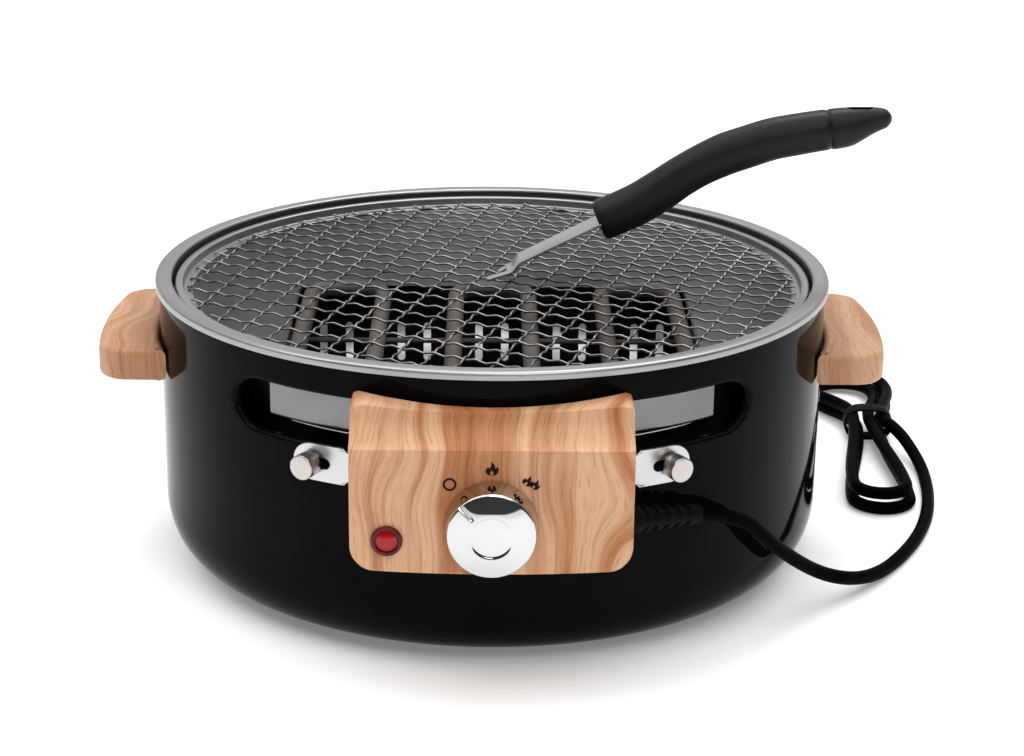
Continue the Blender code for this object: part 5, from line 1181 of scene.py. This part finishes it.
def makeGrip():
    # squarish ellipses along a smooth line, drawn in at a seam by a bell curve and rounded at both ends;
    # the hanging hole is cut through
    g = grip
    line = smoothRoute(g["route"], g["step"])
    along, height, high = line.T
    path = pairs(along, 0.0, height)
    wide = g["wide"] * np.interp(along, g["places"], g["shares"])
    share = np.linspace(0, 1, len(line))
    seam = 1 - g["seamDepth"] * np.exp(-((along - g["seamX"]) / g["seamHalf"]) ** 2)
    ends = np.ones(len(line))
    for place, (length, closing) in ((share, g["nearEnd"]), (1 - share, g["farEnd"])):
        ends = ends * np.sqrt(1 - np.clip(1 - place / length, 0, closing) ** 2)
    loop = circle(1.0, g["sides"])
    loop = np.sign(loop) * np.abs(loop) ** g["squareness"]
    section = loop * np.stack([wide, high], -1)[:, None] * (seam * ends)[:, None, None]
    surfaces = tube(capped(swept(path, section, (0, 1, 0))))
    piece = makePiece("lifter_handle", "lifter", surfaces, "plastic", ["lifter_grip"])
    outline = stadium((g["holeX"], 0), g["holeLength"], g["holeWidth"])
    carve(piece, block(np.stack([pairs(*outline.T, z) for z in g["holeAlong"]])))
    return piece


makeTongue()
makeGrip()
print("lifter done")


# solids that stay, with a finish each
kept = {"coal_box": "boxEnamel", "box_cross_rod": "sheath", "end_bush_left": "ceramic",
        "end_bush_right": "ceramic", "element_neck": "plastic", "clamp_nut_left": "wire",
        "clamp_nut_right": "wire", "back_cover": "grey", "rotary_switch": "grey", "lamp_body": "grey",
        "terminal_block": "ceramic", "knob_shaft": "brass"}
for side in ("left", "right"):
    for end in ("front", "rear"):
        kept[f"handle_spacer_{side}_{end}"] = "plastic"
        kept[f"handle_screw_{side}_{end}"] = "wire"
for name, finish in kept.items():
    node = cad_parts[name]
    if not node.material_slots:
        node.data.materials.append(finishes[finish])
    for held in node.material_slots:
        held.material = finishes[finish]
print("kept pieces done:", len(kept))


studio = {"floor": 0.92, "glow": 0.19, "size": 60.0, "rough": 0.65, "specular": 0.2, "front": 0.06,
          "back": 0.65, "top": 2.3,
          "behind": (-0.1, 0.6), "overhead": (0.66, 0.80)}
lights = [  # name, place, aim, width, height, power
    ("leftBox", (-1.00, -0.30, 1.00), (0, 0, 0.10), 0.50, 0.70, 3),
    ("frontBox", (0.30, -1.25, 1.05), (0, 0, 0.10), 0.80, 0.50, 5),
    ("backBox", (0.30, 0.75, 1.35), (0, 0, 0.12), 0.70, 0.35, 5),
]


def makeFloor():
    half = studio["size"] / 2
    mesh = bpy.data.meshes.new("floor")
    mesh.from_pydata([(-half, -half, 0), (half, -half, 0), (half, half, 0), (-half, half, 0)], [],
                     [(0, 1, 2, 3)])
    material = bpy.data.materials.new("paleFloor")
    material.use_nodes = True
    fill(material.node_tree, material.node_tree.nodes["Principled BSDF"],
         {"Base Color": (*[studio["floor"]] * 3, 1), "Roughness": studio["rough"],
          "Specular IOR Level": studio["specular"], "Emission Color": (1, 1, 1, 1),
          "Emission Strength": studio["glow"]})
    mesh.materials.append(material)
    newObject("floor", mesh)


def makeStudio():
    # the sky is dim in front, lighter behind and brightest overhead, by its direction's Y and Z
    world = bpy.data.worlds.new("studio")
    world.use_nodes = True
    tree = world.node_tree
    coords = newNode(tree, "TexCoord", {})
    x, y, z = newNode(tree, "SeparateXYZ", {0: coords.outputs["Generated"]}).outputs
    low = spread(tree, y, *studio["behind"], studio["front"], studio["back"])
    high = spread(tree, z, *studio["overhead"])
    blend = newNode(tree, "Mix", {"Factor": high, "A": low, "B": studio["top"]}, data_type="FLOAT")
    fill(tree, tree.nodes["Background"], {"Strength": blend.outputs["Result"], "Color": (1, 1, 1, 1)})
    bpy.context.scene.world = world
    bpy.context.scene.view_settings.view_transform = "Standard"
    for name, place, aim, width, height, power in lights:
        light = bpy.data.lights.new(name, "AREA")
        light.shape, light.size, light.size_y, light.energy = "RECTANGLE", width, height, power
        away = unit(np.subtract(place, aim))
        side = unit(np.cross([0, 0, 1], away))
        turnTo(newObject(name, light), side, np.cross(away, side), away, place)


makeFloor()
makeStudio()
print("studio done")

bpy.context.view_layer.update()
